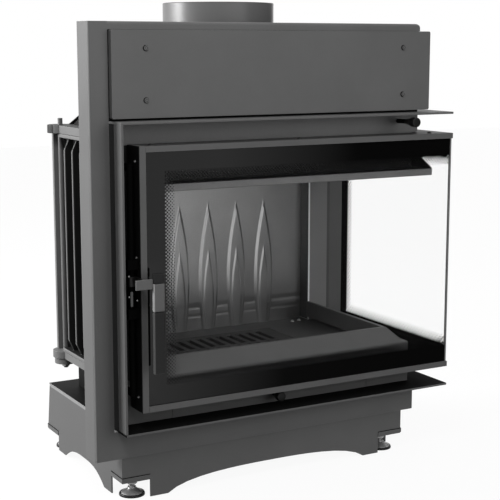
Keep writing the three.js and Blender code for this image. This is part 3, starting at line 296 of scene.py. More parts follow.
wall = [(x, CARD_FRONT, z) for x, z in rectangle(CARD_LEFT, CARD_TOP, CARD_RIGHT, CARD_FOOT)]
side = [(CARD_RIGHT, y, z) for y, z in rectangle(CARD_FRONT, CARD_TOP, SIDE_END, CARD_FOOT)]
ground = [(x, y, CARD_FOOT) for x, y in rectangle(CARD_LEFT, CARD_FRONT, CARD_RIGHT, FLOOR_END)]
gloss_card("gloss_wall", wall, PANE_PIVOT, *PANE_FADE)
gloss_card("gloss_side", side, PANE_PIVOT, *PANE_FADE)
gloss_card("gloss_floor", ground, FLOOR_PIVOT, *FLOOR_FADE)
print("world", WORLD_STRENGTH, "with", len(LAMPS), "soft lamps and three cards that only gloss sees")

# %% [markdown]
# ## Finishes
# The sheet pieces wear a matt graphite coat. Its look is a fine orange peel: a small bump from
# noise, a slow change of tone, and slightly polished edges where the coat is thin. Cast iron
# has the same colour and a coarser skin. All patterns read Object coordinates, so they are
# the same size on every piece.


# %% Painted metal and iron
SLOW_SCALE = 9.0
TONE_ENDS = (0.3, 0.7)
SPECKLE_SHARE = 0.35
COAT_SATURATION = 0.08
COAT_VALUE = 1.22
EDGE_RADIUS = 1.2 * MM
EDGE_GAIN = 4.0
EDGE_LIGHTER = 1.7
ROUGHNESS_BELOW = 0.06
ROUGHNESS_ABOVE = 0.08
COAT_BUMP = 0.5


def edge_share(tree):
    """0 on a flat, 1 on an edge: how far the rounded normal leans from the true one."""
    rounded = node(tree, "ShaderNodeBevel", samples=4, Radius=EDGE_RADIUS)
    true = node(tree, "ShaderNodeNewGeometry")
    dot = node(tree, "ShaderNodeVectorMath", operation="DOT_PRODUCT")
    tree.links.new(rounded.outputs["Normal"], dot.inputs[0])
    tree.links.new(true.outputs["Normal"], dot.inputs[1])
    lean = math_node(tree, "SUBTRACT", 1.0, dot.outputs["Value"])
    return math_node(tree, "MULTIPLY", lean, EDGE_GAIN, clamp=True)


def coated(name, grey, roughness, grain_mm, depth_mm, mottle=0.07, edge=0.35, metal=0.0, shine=0.5):
    """A coat on metal: grey tone mottled by slow noise, fine bump of grain_mm, lighter edges."""
    made, tree, shader = empty_material(name)
    place = node(tree, "ShaderNodeTexCoord").outputs["Object"]
    slow = node(tree, "ShaderNodeTexNoise", Scale=SLOW_SCALE, Detail=4.0, Roughness=0.6)
    fine = node(tree, "ShaderNodeTexNoise", Scale=1.0 / (grain_mm * MM), Detail=3.0, Roughness=0.55)
    for texture in (slow, fine):
        tree.links.new(place, texture.inputs["Vector"])
    level = linear(grey)
    tones = two_tones(tree, slow.outputs["Fac"], neutral(level * (1 - mottle)),
                      neutral(level * (1 + mottle)), TONE_ENDS)
    speckle = node(tree, "ShaderNodeMix", data_type="RGBA", blend_type="MULTIPLY")
    speckle.inputs["Factor"].default_value = SPECKLE_SHARE
    tree.links.new(tones, speckle.inputs["A"])
    tree.links.new(fine.outputs["Color"], speckle.inputs["B"])
    plain = node(tree, "ShaderNodeHueSaturation", Saturation=COAT_SATURATION, Value=COAT_VALUE)
    tree.links.new(speckle.outputs["Result"], plain.inputs["Color"])
    rubbed = node(tree, "ShaderNodeMix", data_type="RGBA")
    tree.links.new(math_node(tree, "MULTIPLY", edge_share(tree), edge), rubbed.inputs["Factor"])
    tree.links.new(plain.outputs["Color"], rubbed.inputs["A"])
    rubbed.inputs["B"].default_value = shade(min(255, grey * EDGE_LIGHTER))
    tree.links.new(rubbed.outputs["Result"], shader.inputs["Base Color"])
    vary_roughness(tree, shader, slow.outputs["Fac"], roughness - ROUGHNESS_BELOW,
                   roughness + ROUGHNESS_ABOVE)
    add_bump(tree, shader, fine.outputs["Fac"], COAT_BUMP, depth_mm * MM)
    shader.inputs["Metallic"].default_value = metal
    shader.inputs["Specular IOR Level"].default_value = shine
    return made


def zoned(material, axis, start, end, grey, share=1.0):
    """A copy of a coat that takes another grey where an Object coordinate is in a range."""
    made = material.copy()
    tree = made.node_tree
    shader = tree.nodes["Principled BSDF"]
    place = object_axes(tree)[axis]
    past_start = math_node(tree, "GREATER_THAN", place, start)
    inside = math_node(tree, "MULTIPLY", past_start, math_node(tree, "LESS_THAN", place, end))
    mix = node(tree, "ShaderNodeMix", data_type="RGBA")
    tree.links.new(math_node(tree, "MULTIPLY", inside, share), mix.inputs["Factor"])
    tree.links.new(shader.inputs["Base Color"].links[0].from_socket, mix.inputs["A"])
    mix.inputs["B"].default_value = shade(grey)
    tree.links.new(mix.outputs["Result"], shader.inputs["Base Color"])
    return made


def bare_metal(name, grey, roughness, scratch=0.12):
    """Bright metal: full metallic, with a fine change of tone and roughness."""
    made, tree, shader = empty_material(name)
    place = node(tree, "ShaderNodeTexCoord").outputs["Object"]
    fine = node(tree, "ShaderNodeTexNoise", Scale=700.0, Detail=3.0, Roughness=0.6)
    tree.links.new(place, fine.inputs["Vector"])
    tones = two_tones(tree, fine.outputs["Fac"], shade(grey * 0.9), shade(grey))
    tree.links.new(tones, shader.inputs["Base Color"])
    vary_roughness(tree, shader, fine.outputs["Fac"], roughness, roughness + scratch)
    shader.inputs["Metallic"].default_value = 1.0
    return made


# Each coat: name, 8-bit grey, roughness, and the grain's size and depth in millimetres.
finish = {
    "frame_paint": coated("graphite_coat", 88, 0.5, 0.9, 0.05, shine=0.3),
    "pedestal_paint": coated("pedestal_coat", 84, 0.52, 0.9, 0.05, shine=0.3),
    "door_paint": coated("door_coat", 82, 0.48, 0.8, 0.04, shine=0.3),
    "hood_paint": coated("hood_coat", 88, 0.3, 0.9, 0.04, shine=0.6),
    "handle_paint": coated("handle_coat", 88, 0.4, 0.7, 0.03, shine=0.3),
    "front_iron": coated("painted_iron", 80, 0.55, 1.6, 0.12, shine=0.3),
    "raw_iron": coated("cast_iron", 72, 0.6, 2.2, 0.25, mottle=0.12, shine=0.25),
    "lining_iron": coated("lining_iron", 176, 0.3, 2.0, 0.03, mottle=0.06, edge=0.0, metal=0.92),
    "black_steel": coated("black_coat", 12, 0.6, 0.9, 0.04, shine=0.08),
    "bright_steel": bare_metal("zinc_plate", 205, 0.22),
    "grip_plastic": coated("black_grip", 20, 0.4, 0.5, 0.02, edge=0.2, shine=0.25),
}
foot_steel = coated("satin_zinc", 150, 0.34, 0.6, 0.02, metal=0.55)
black_bolt = coated("black_bolt", 26, 0.35, 0.6, 0.03)
light_iron = coated("light_iron", 104, 0.52, 1.8, 0.12, mottle=0.09, shine=0.3)
matt_coat = coated("matt_coat", 96, 0.8, 0.9, 0.05, mottle=0.05, shine=0.06)
inner_iron = coated("inner_iron", 106, 0.36, 1.8, 0.06)
# The lintel's coat is lighter than the other iron to make up for the shade that the shelf above casts on
# it: painted light.
lintel_painted_light = coated("lintel_painted_light", 112, 0.55, 1.6, 0.12, shine=0.3)
sill_iron = coated("sill_iron", 78, 0.55, 1.8, 0.1, shine=0.25)
grate_iron = coated("grate_iron", 48, 0.6, 2.2, 0.25, mottle=0.12, shine=0.25)
dark_iron = coated("dark_iron", 46, 0.6, 1.8, 0.1, shine=0.2)
joint_grey = coated("joint_grey", 112, 0.6, 0.8, 0.02, shine=0.1)
# A near-black coat with no shine and no lighter edges, for pieces that sit in deep shade: painted shade.
painted_shade_black = coated("painted_shade_black", 4, 0.7, 0.9, 0.04, edge=0.0, shine=0.02)
print("finishes:", ", ".join(sorted(finish)))

# %% [markdown]
# ## Printed glass
# The panes are ceramic glass with a black enamel border. Towards the clear part the border
# breaks up into a halftone: dots on a diagonal lattice that shrink and then end. The mask is
# worked out from Object coordinates. A lattice height, the mean of two cosines, is compared
# with a level that rises from the solid edge to the clear one.

# %% Glass
FRONT_PITCH = 6.0 * MM
SIDE_PITCH = 9.0 * MM
DOT_ZONE = 17 * MM
LEAST_COVER = 0.22
COVER_GAIN = 0.4
CUT_AT_NONE = 1.05
CUT_SLOPE = -2.1
NEAR_ZERO = 0.001
CLEAR_ALPHA = 0.012
FACE_SKIN = 0.6 * MM
PRINT_GREY = 9
CLEAR_GREY = 120
PANE_ROUGHNESS = 0.05
PANE_SHINE = 0.28
SOLID_LEFT = 43 * MM
SOLID_TOP = 38 * MM
SOLID_BOTTOM = 39 * MM
SOLID_REAR = 22.7 * MM


def printed_glass(name, across, across_edges, level_edges, pitch, face):
    """Glass whose black print fills the border and ends in dots; across is 'X' or 'Y'. The
    print lies on one face only, the one where an axis has a value: face is (axis, value)."""
    made, tree, shader = empty_material(name)
    axes = object_axes(tree)
    side, level = axes[across], axes["Z"]
    share = falling(tree, side, *across_edges)
    for edges in level_edges:
        share = math_node(tree, "MAXIMUM", share, falling(tree, level, *edges))
    waves = []
    for sign in (1.0, -1.0):
        run = math_node(tree, "MULTIPLY_ADD", level, sign, side)
        waves.append(math_node(tree, "COSINE", math_node(tree, "MULTIPLY", run, 2 * math.pi / pitch)))
    lattice = math_node(tree, "MULTIPLY", math_node(tree, "ADD", *waves), 0.5)
    cover = math_node(tree, "MULTIPLY_ADD", share, COVER_GAIN, LEAST_COVER)
    cut = math_node(tree, "MULTIPLY_ADD", cover, CUT_SLOPE, CUT_AT_NONE)
    dots = math_node(tree, "GREATER_THAN", lattice, cut)
    dots = math_node(tree, "MULTIPLY", dots, math_node(tree, "GREATER_THAN", share, NEAR_ZERO))
    black = math_node(tree, "MAXIMUM", dots, math_node(tree, "GREATER_THAN", share, 1 - NEAR_ZERO))
    on_face = math_node(tree, "COMPARE", axes[face[0]], face[1], FACE_SKIN)
    black = math_node(tree, "MULTIPLY", black, on_face)
    tree.links.new(math_node(tree, "MAXIMUM", black, CLEAR_ALPHA), shader.inputs["Alpha"])
    tones = node(tree, "ShaderNodeMix", data_type="RGBA")
    tree.links.new(black, tones.inputs["Factor"])
    tones.inputs["A"].default_value = shade(CLEAR_GREY)
    tones.inputs["B"].default_value = shade(PRINT_GREY)
    tree.links.new(tones.outputs["Result"], shader.inputs["Base Color"])
    shader.inputs["Roughness"].default_value = PANE_ROUGHNESS
    shader.inputs["Specular IOR Level"].default_value = PANE_SHINE
    return made


front_low, front_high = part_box("front_glass")
side_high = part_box("side_glass")[1]
top_edges = (front_high.z - SOLID_TOP, front_high.z - SOLID_TOP - DOT_ZONE)
bottom_edges = (front_low.z + SOLID_BOTTOM, front_low.z + SOLID_BOTTOM + DOT_ZONE)
left_edges = (front_low.x + SOLID_LEFT, front_low.x + SOLID_LEFT + DOT_ZONE)
rear_edges = (side_high.y - SOLID_REAR, side_high.y - SOLID_REAR - DOT_ZONE)
front_print = printed_glass("front_printed_glass", "X", left_edges, (top_edges, bottom_edges),
                            FRONT_PITCH, ("Y", front_low.y))
side_print = printed_glass("side_printed_glass", "Y", rear_edges, (top_edges, bottom_edges),
                           SIDE_PITCH, ("X", side_high.x))
print("print borders:", [round(v / MM) for v in (SOLID_LEFT, SOLID_TOP, SOLID_BOTTOM, SOLID_REAR)])


# %% Rope seal
def rope(name):
    """Woven glass-fibre tape: one diagonal wave as tone and as bump, near black."""
    made, tree, shader = empty_material(name)
    place = node(tree, "ShaderNodeTexCoord").outputs["Object"]
    weave = node(tree, "ShaderNodeTexWave", wave_type="BANDS", bands_direction="DIAGONAL",
                 Scale=160.0, Distortion=1.5)
    tree.links.new(place, weave.inputs["Vector"])
    tones = two_tones(tree, weave.outputs["Fac"], shade(16), shade(44))
    tree.links.new(tones, shader.inputs["Base Color"])
    add_bump(tree, shader, weave.outputs["Fac"], 0.9, 0.6 * MM)
    shader.inputs["Roughness"].default_value = 0.95
    return made


finish["seal_rope"] = rope("woven_seal")
finish["door_glass"] = front_print

# %% [markdown]
# ## Finished copies of the sheet and cast pieces
# Real edges are never knife sharp: powder coat rounds a cut sheet by about half a millimetre
# and a casting by one or two. Each solid is copied, its loose triangles are merged into whole
# faces, and a bevel of the right size follows the sharp edges.

# %% Rounded copies
WELD = 0.002 * MM
SHEET_EDGE = 0.5 * MM
CAST_EDGE = 1.4 * MM
BEVEL_SEGMENTS = 2
BEVEL_ANGLE = 38
FLAT_ANGLE = 0.5
edge_of_slot = {"raw_iron": CAST_EDGE, "lining_iron": CAST_EDGE, "front_iron": 1.0 * MM,
                "grip_plastic": 1.2 * MM, "door_glass": 0.4 * MM, "handle_paint": 0.8 * MM}


def whole_faces(source):
    """A merged copy of a solid's mesh, with flat neighbours joined into one face."""
    work = bmesh.new()
    work.from_mesh(source)
    bmesh.ops.remove_doubles(work, verts=work.verts, dist=WELD)
    bmesh.ops.dissolve_limit(work, angle_limit=math.radians(FLAT_ANGLE), verts=work.verts, edges=work.edges)
    made = bpy.data.meshes.new(source.name + "_whole")
    work.to_mesh(made)
    work.free()
    made.polygons.foreach_set("use_smooth", np.ones(len(made.polygons), bool))
    return made


def place_piece(name, mesh, body, material):
    """Puts a mesh in the scene as a piece that rides on a body and has its finish."""
    made = linked_object(name, mesh)
    mesh.materials.clear()
    mesh.materials.append(material)
    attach(made, body)
    return made


def finished_copy(name, material=None, width=None):
    """A solid's merged copy with rounded edges; it stands for the solid."""
    slot = slot_of_node[name]
    mesh = whole_faces(nodes[name].data)
    made = place_piece(name + "_finish", mesh, body_of_node[name], material or finish[slot])
    bevel = made.modifiers.new("rounded_edges", "BEVEL")
    bevel.width = width or edge_of_slot.get(slot, SHEET_EDGE)
    bevel.segments = BEVEL_SEGMENTS
    bevel.limit_method = "ANGLE"
    bevel.angle_limit = math.radians(BEVEL_ANGLE)
    evened = made.modifiers.new("even_shading", "WEIGHTED_NORMAL")
    evened.mode = "FACE_AREA"
    evened.keep_sharp = True
    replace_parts(made, name)
    return made


# %% [markdown]
# ## Turned parts
# Feet, knobs, screws, nuts and the flue collar are turned parts. One function spins a profile
# of radius and height pairs about an axis, and a row's radius may follow a hexagon.

# %% Turned surfaces
UP = Vector((0, 0, 1))


def surface(name, points, wrap_u=False, wrap_v=False):
    """A mesh of quads over a grid of points, indexed (u, v); either way may close on itself."""
    rows, columns = points.shape[:2]
    u_cells = np.arange(rows if wrap_u else rows - 1)
    v_cells = np.arange(columns if wrap_v else columns - 1)
    i, j = np.meshgrid(u_cells, v_cells, indexing="ij")
    down, across = (i + 1) % rows, (j + 1) % columns
    quads = np.stack([i * columns + j, down * columns + j, down * columns + across,
                      i * columns + across], -1)
    mesh = bpy.data.meshes.new(name)
    mesh.from_pydata(points.reshape(-1, 3).tolist(), [], quads.reshape(-1, 4).tolist())
    return mesh


def closed_up(mesh, smooth=40):
    """Merges poles and seams, points the faces out and smooths angles under a limit."""
    work = bmesh.new()
    work.from_mesh(mesh)
    bmesh.ops.remove_doubles(work, verts=work.verts, dist=WELD)
    bmesh.ops.dissolve_degenerate(work, edges=work.edges, dist=WELD)
    bmesh.ops.recalc_face_normals(work, faces=work.faces)
    work.to_mesh(mesh)
    work.free()
    mesh.polygons.foreach_set("use_smooth", np.ones(len(mesh.polygons), bool))
    mesh.set_sharp_from_angle(angle=math.radians(smooth))
    return mesh


def hexagon(angle):
    """Radius factor of a regular hexagon, 1 at the middle of its sides."""
    local = (angle + math.pi / 6) % (math.pi / 3) - math.pi / 6
    return 1 / np.cos(local)


def turned(name, profile, place, axis=UP, steps=48, hex_shares=None):
    """Spins (radius, height) pairs about an axis: point = place + height * axis + radius *
    (cos a, sin a) in the plane across it. hex_shares makes rows follow a hexagon."""
    profile = np.array(profile, float)
    angle = np.linspace(0, 2 * math.pi, steps, endpoint=False)
    radius = profile[:, :1] * np.ones(steps)
    if hex_shares is not None:
        shares = np.array(hex_shares, float)[:, None]
        radius = radius * (1 + shares * (hexagon(angle) - 1))
    turn = UP.rotation_difference(Vector(axis)).to_matrix()
    flat = np.stack([radius * np.cos(angle), radius * np.sin(angle), profile[:, 1:] * np.ones(steps)], -1)
    points = flat @ np.array(turn).T + np.array(place)
    return closed_up(surface(name, points, wrap_v=True))


def merged(name, meshes):
    """Several meshes as one."""
    work = bmesh.new()
    for mesh in meshes:
        work.from_mesh(mesh)
    made = bpy.data.meshes.new(name)
    work.to_mesh(made)
    work.free()
    made.set_sharp_from_angle(angle=math.radians(40))
    return made


def arc(centre, radius, start, end, steps=6):
    """Profile points on a circle, from one angle to another in degrees."""
    angle = np.radians(np.linspace(start, end, steps))
    return [(centre[0] + radius * math.cos(a), centre[1] + radius * math.sin(a)) for a in angle]


# %% [markdown]
# ## Levelling feet
# Each foot is a pressed steel cone on a dark rubber pad, with a threaded stem and a lock nut.
# The thread is a row of small ridges along the profile.

# %% Feet
CORNERS = ("front_left", "front_right", "rear_left", "rear_right")
PAD_HEIGHT = 4.4 * MM
PAD_SIDE = 2.6 * MM
CONE_FOOT = 4.8 * MM
CONE_RISE = 9.4 * MM
STEM_RADIUS = 4.8 * MM
STEM_FOOT = 14.6 * MM
THREAD_START = 15 * MM
THREAD_PITCH = 1.25 * MM
THREAD_DEPTH = 0.5 * MM
NUT_LOW = 19 * MM
NUT_HIGH = 24 * MM
NUT_FLAT = 8 * MM
NUT_END = 7.2 * MM


def foot_profile(radius, top):
    """Cone that sweeps in from the disc to the neck: radius falls as (1 - s) squared."""
    neck = STEM_RADIUS * 1.5
    sweep = [(neck + (radius * 0.84 - neck) * (1 - s) ** 2, CONE_FOOT + CONE_RISE * s ** 0.8)
             for s in np.linspace(0, 1, 9)]
    ridges = np.arange(THREAD_START, top, THREAD_PITCH / 2)
    thread = [(STEM_RADIUS - THREAD_DEPTH * (k % 2), z) for k, z in enumerate(ridges)]
    disc = [(0, PAD_HEIGHT), (radius * 0.86, PAD_HEIGHT)]
    return [*disc, *sweep, (STEM_RADIUS, STEM_FOOT), *thread, (0, ridges[-1])]


for corner in CORNERS:
    name = "levelling_foot_" + corner
    low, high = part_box(name)
    centre = ((low.x + high.x) / 2, (low.y + high.y) / 2, 0)
    radius = (high.x - low.x) / 2
    cone = turned(name + "_cone", foot_profile(radius, high.z), centre)
    nut_rows = [(STEM_RADIUS, NUT_LOW), (NUT_END, NUT_LOW), (NUT_FLAT, NUT_LOW + MM),
                (NUT_FLAT, NUT_HIGH - MM), (NUT_END, NUT_HIGH), (STEM_RADIUS, NUT_HIGH)]
    nut = turned(name + "_nut", nut_rows, centre, hex_shares=[0, 0, 1, 1, 0, 0])
    steel = merged(name + "_steel", [cone, nut])
    piece = place_piece(name + "_steel", steel, body_of_node[name], foot_steel)
    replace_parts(piece, name)
    pad_rows = [(0, 0), (radius, 0), (radius, PAD_SIDE), (radius * 0.95, PAD_HEIGHT), (0, PAD_HEIGHT)]
    pad = turned(name + "_pad", pad_rows, centre)
    place_piece(name + "_pad", pad, body_of_node[name], finish["grip_plastic"])
print("four levelling feet, cone radius", round(radius / MM, 1), "mm")

# %% [markdown]
# ## Flue collar
# The collar is a rolled sheet tube with a rounded rim.

# %% Collar
COLLAR_WALL = 3 * MM
COLLAR_INSET = 0.4 * MM
COLLAR_LIP = 0.8 * MM
low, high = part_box("flue_collar")
centre = ((low.x + high.x) / 2, (low.y + high.y) / 2, 0)
radius = (high.x - low.x) / 2 - COLLAR_INSET
inside = radius - COLLAR_WALL
rim = arc((radius - COLLAR_WALL / 2, high.z - COLLAR_WALL / 2), COLLAR_WALL / 2, 0, 180, 7)
rows = [(inside, low.z), (radius, low.z), (radius, high.z - COLLAR_LIP), *rim, (inside, low.z)]
collar = turned("collar", rows, centre, steps=120)
piece = place_piece("flue_collar_finish", collar, body_of_node["flue_collar"],
                    finish["hood_paint"])
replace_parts(piece, "flue_collar")
print("flue collar radius", round(radius / MM, 1), "mm")

# %% [markdown]
# ## Cast back plate
# The plate at the back of the fire has six tall raised leaves, each with a smaller leaf on
# it, and pairs of short grooves between them. It is one height field: a leaf rises over a
# soft step a few millimetres wide, all along its outline, and the small leaf does so again.

# %% Back plate
LEAVES = 6
LEAF_PITCH = 63.7 * MM
LEAF_SHIFT = -0.3 * MM
LEAF_HEIGHT = 257 * MM
LEAF_WIDTH = 43 * MM
LEAF_RISE = 2.3 * MM
LEFT_STEP = 6.0 * MM
RIGHT_STEP = 3.6 * MM
CROWN = 0.08
INNER_HEIGHT_SHARE = 0.64
INNER_WIDTH_SHARE = 0.56
INNER_RISE_SHARE = 0.5
INNER_STEP_SHARE = 0.56
WIDEST_SHARE = 0.35
FOOT_SHARE = 0.66
TIP_POWER = 1.15
CLEAR_OF_LEAF = 0.2
GROOVE_LEVELS = (29.2 * MM, 45.2 * MM)
GROOVE_HALF = 2.4 * MM
GROOVE_DEPTH = 0.9 * MM
SKIRTING_TOP = 53.5 * MM
SKIRTING_DIP = 0.5 * MM
SKIRTING_STEP = 2 * MM
PLATE_DEPTH = 11.7 * MM
GRID_COLUMNS = 640
GRID_ROWS = 116


def smooth_step(share):
    """0 to 1 with level ends: 3 s^2 - 2 s^3."""
    share = np.clip(share, 0, 1)
    return share * share * (3 - 2 * share)


def half_width(t, width):
    """Half a leaf's width at share t of its height: a sine up to the widest place, then a
    cosine to the pointed tip."""
    below = np.clip(t / WIDEST_SHARE, 0, 1)
    above = np.clip((t - WIDEST_SHARE) / (1 - WIDEST_SHARE), 0, 1)
    rising = FOOT_SHARE + (1 - FOOT_SHARE) * np.sin(math.pi / 2 * below)
    tapering = np.cos(math.pi / 2 * above ** TIP_POWER)
    return width / 2 * np.where(t < WIDEST_SHARE, rising, tapering) * (t < 1)


def leaf_relief(x, z, centre, height, width, rise, steps):
    """A raised leaf: a step of its own width inside either outline, and a low crown."""
    half = half_width(z / height, width)
    inside = half - np.abs(x - centre)
    crown = 1 - CROWN * (np.abs(x - centre) / (width / 2)) ** 2
    return rise * smooth_step(inside / np.where(x < centre, *steps)) * crown


low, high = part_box("back_plate")
plate_front = high.y - PLATE_DEPTH
x = np.linspace(low.x, high.x, GRID_COLUMNS)
z = np.linspace(low.z, high.z, GRID_ROWS)
across, level = np.meshgrid(x, z - low.z)
middle = (low.x + high.x) / 2 + LEAF_SHIFT
inner_height = LEAF_HEIGHT * INNER_HEIGHT_SHARE
inner_width = LEAF_WIDTH * INNER_WIDTH_SHARE
inner_rise = LEAF_RISE * INNER_RISE_SHARE
outer_steps = (LEFT_STEP, RIGHT_STEP)
inner_steps = (INNER_STEP_SHARE * LEFT_STEP, RIGHT_STEP)
relief = np.zeros_like(across)
for k in range(LEAVES):
    leaf_x = middle + LEAF_PITCH * (k - (LEAVES - 1) / 2)
    relief += leaf_relief(across, level, leaf_x, LEAF_HEIGHT, LEAF_WIDTH, LEAF_RISE, outer_steps)
    relief += leaf_relief(across, level, leaf_x, inner_height, inner_width, inner_rise, inner_steps)
between = np.clip(1 - relief / (CLEAR_OF_LEAF * LEAF_RISE), 0, 1)
for groove in GROOVE_LEVELS:
    dip = 1 - np.clip(np.abs(level - groove) / GROOVE_HALF, 0, 1)
    relief -= GROOVE_DEPTH * smooth_step(dip) * between
relief -= SKIRTING_DIP * smooth_step((SKIRTING_TOP - level) / SKIRTING_STEP) * between
front = np.stack([across, plate_front - relief, level + low.z], -1)
back = np.stack([across, np.full_like(across, high.y), level + low.z], -1)
rim = [front[0], front[:, -1], front[-1, ::-1], front[::-1, 0]]
edge = np.concatenate([r[:-1] for r in rim])
skirt = np.stack([edge, edge * (1, 0, 1) + (0, high.y, 0)], 0)
plate = merged("back_plate_relief", [surface("plate_front", front),
                                     surface("plate_skirt", skirt, wrap_v=True),
                                     surface("plate_back", back[[0, -1]][:, [0, -1]])])
piece = place_piece("back_plate_relief", closed_up(plate, 60), body_of_node["back_plate"],
                    finish["lining_iron"])
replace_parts(piece, "back_plate")
print("back plate:", len(plate.polygons), "faces,", LEAVES, "leaves")

# %% [markdown]
# ## Screws and nuts
# The cover plate is held by four dome-head screws with a hexagon socket. Smaller ones sit in
# the door's top rail, its left stile and the latch case. Nuts close the two tie rods, except
# at the upper end of the left one.


# %% Screw heads
FRONTWARD = (0, -1, 0)
LEFTWARD = (-1, 0, 0)
DOWN = (0, 0, -1)
SCREW_SINK = 0.2 * MM
COVER_INSET = 60 * MM
COVER_RISE = 29 * MM
COVER_HEAD = 2.6 * MM
RAIL_SCREWS = (97 * MM, 381 * MM, 661 * MM)
RAIL_SCREW_DEPTH = 15 * MM
STILE_SCREWS = ((16 * MM, 418.5 * MM), (16 * MM, 260.5 * MM), (16 * MM, 24.5 * MM))
CASE_SCREWS = ((1.8 * MM, 72 * MM), (1.8 * MM, 38 * MM), (16 * MM, 31 * MM))


def dome_screw(place, axis, radius, height):
    """Dome head with a hexagon socket: the socket's rows follow a hexagon, the rest a circle."""
    socket = radius * 0.42
    floor_level = height - height * 0.55
    outside = [(radius * r, height * s) for r, s in arc((0, 0), 1, 0, 62, 6)]
    rows = [(0, -SCREW_SINK), (radius, -SCREW_SINK), *outside, (socket * 1.12, height),
            (socket, height - 0.2 * MM), (socket, floor_level), (0, floor_level)]
    hexes = [0] * (2 + len(outside)) + [0.4, 1, 1, 0]
    return turned("head", rows, place, axis, steps=36, hex_shares=hexes)


low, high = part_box("cover_plate")
heads = [dome_screw((sx, low.y + COVER_HEAD, sz), FRONTWARD, 4.9 * MM, 3.1 * MM)
         for sx in (low.x + COVER_INSET, high.x - COVER_INSET)
         for sz in (low.z + COVER_RISE, high.z - COVER_RISE)]
place_piece("cover_screws", merged("cover_screws", heads), "stove", finish["black_steel"])

frame_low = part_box("front_frame")[0]
low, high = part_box("door_top_rail")
heads = [dome_screw((frame_low.x + sx, low.y + RAIL_SCREW_DEPTH, high.z), UP, 4.6 * MM, 2.6 * MM)
         for sx in RAIL_SCREWS]
place_piece("rail_screws", merged("rail_screws", heads), "door", black_bolt)
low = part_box("door_left_stile")[0]
heads = [dome_screw((low.x, low.y + sy, low.z + sz), LEFTWARD, 2.2 * MM, 1.1 * MM)
         for sy, sz in STILE_SCREWS]
case_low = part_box("latch_case")[0]
heads += [dome_screw((case_low.x + sx, case_low.y, case_low.z + sz), FRONTWARD, 1.3 * MM, 0.7 * MM)
          for sx, sz in CASE_SCREWS]
place_piece("door_screws", merged("door_screws", heads), "door", foot_steel)
print("door screws:", len(heads))

# %% Nuts on the tie rods
ROD_BORE = 4 * MM
ROD_NUT_FLAT = 7 * MM
ROD_NUT_HEIGHT = 7 * MM
WASHER = 1.2 * MM


def nut_and_washer(place, axis):
    """A hexagon nut with chamfered ends on a round washer."""
    wide, flat, top = ROD_NUT_FLAT * 1.35, ROD_NUT_FLAT, ROD_NUT_HEIGHT
    rows = [(ROD_BORE, 0), (wide, 0), (wide, WASHER), (flat, WASHER), (flat, WASHER + 0.1 * MM),
            (flat, top - MM), (flat * 0.9, top), (ROD_BORE, top)]
    return turned("nut", rows, place, axis, steps=48, hex_shares=[0, 0, 0, 0, 1, 1, 0, 0])


rod_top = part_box("top_casting")[1].z
rod_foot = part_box("hearth_casting")[0].z
nuts = []
for side in ("left", "right"):
    low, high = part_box("tie_rod_" + side)
    at = ((low.x + high.x) / 2, (low.y + high.y) / 2)
    if side == "right":
        nuts.append(nut_and_washer((*at, rod_top), UP))
    nuts.append(nut_and_washer((*at, rod_foot), DOWN))
place_piece("tie_rod_nuts", merged("tie_rod_nuts", nuts), "stove", foot_steel)

# %% [markdown]
# ## Small strips
# The latch tongue shows in its case. A grey joint line closes the corner of the two panes and
# fire cement fills the joint beside the rear column. A small plate stands at the right end of
# the throat lip, a lug at the foot of the hood, and a plate with a seam on each foot bracket.
# Two bolt heads lie on the hearth in front of the back plate.


# %% Bars and prisms
def bar_mesh(name, low, high):
    """A box between two corners."""
    corners = [[x, y, z] for x in (low[0], high[0]) for y in (low[1], high[1]) for z in (low[2], high[2])]
    quads = [(0, 1, 3, 2), (4, 6, 7, 5), (0, 4, 5, 1), (2, 3, 7, 6), (0, 2, 6, 4), (1, 5, 7, 3)]
    mesh = bpy.data.meshes.new(name)
    mesh.from_pydata(corners, [], quads)
    return closed_up(mesh)


def prism(name, axis, start, end, outline):
    """A flat outline given in the two other axes, carried along one axis from start to end."""
    points = [[*p[:axis], value, *p[axis:]] for value in (start, end) for p in outline]
    count = len(outline)
    sides = [(k, (k + 1) % count, (k + 1) % count + count, k + count) for k in range(count)]
    mesh = bpy.data.meshes.new(name)
    mesh.from_pydata(points, [], [tuple(range(count)), tuple(range(count, 2 * count)), *sides])
    return closed_up(mesh)


# %% Strips
TONGUE_LOW = Vector((4.2, -1.2, 22)) * MM
TONGUE_HIGH = Vector((7.6, 1, 46)) * MM
JOINT_LOW = Vector((-0.5, 0.2, 1)) * MM
JOINT_HIGH = Vector((2.9, -0.4, -1)) * MM
CEMENT_LOW = Vector((-14, 0.05, 6)) * MM
CEMENT_HIGH = Vector((0.3, 14, -1)) * MM
GUSSET = 70 * MM
GUSSET_RISE = 0.55
LUG_WIDTH = 48 * MM
LUG_RISE = 37 * MM
THIN = 4 * MM
tongue = bar_mesh("latch_tongue", case_low + TONGUE_LOW, case_low + TONGUE_HIGH)
place_piece("latch_tongue", tongue, "door", matt_coat)

joint_start = Vector((side_high.x, front_low.y, front_low.z))
joint_end = Vector((side_high.x, front_high.y, front_high.z))
joint = bar_mesh("glass_corner_joint", joint_start + JOINT_LOW, joint_end + JOINT_HIGH)
place_piece("glass_corner_joint", joint, "door", joint_grey)

column_low, column_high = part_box("rear_column")
cement_start = Vector((column_high.x, column_low.y, column_low.z))
cement_end = Vector((column_high.x, column_low.y, column_high.z))
cement = bar_mesh("fire_cement", cement_start + CEMENT_LOW, cement_end + CEMENT_HIGH)
place_piece("fire_cement", cement, "stove", inner_iron)

low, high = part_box("throat_lip")
rear = low.y + GUSSET
outline = [(low.y, high.z), (rear, high.z), (rear, high.z + GUSSET * GUSSET_RISE)]
gusset = prism("lip_gusset", 0, high.x - THIN, high.x, outline)
place_piece("lip_gusset", gusset, "stove", dark_iron)

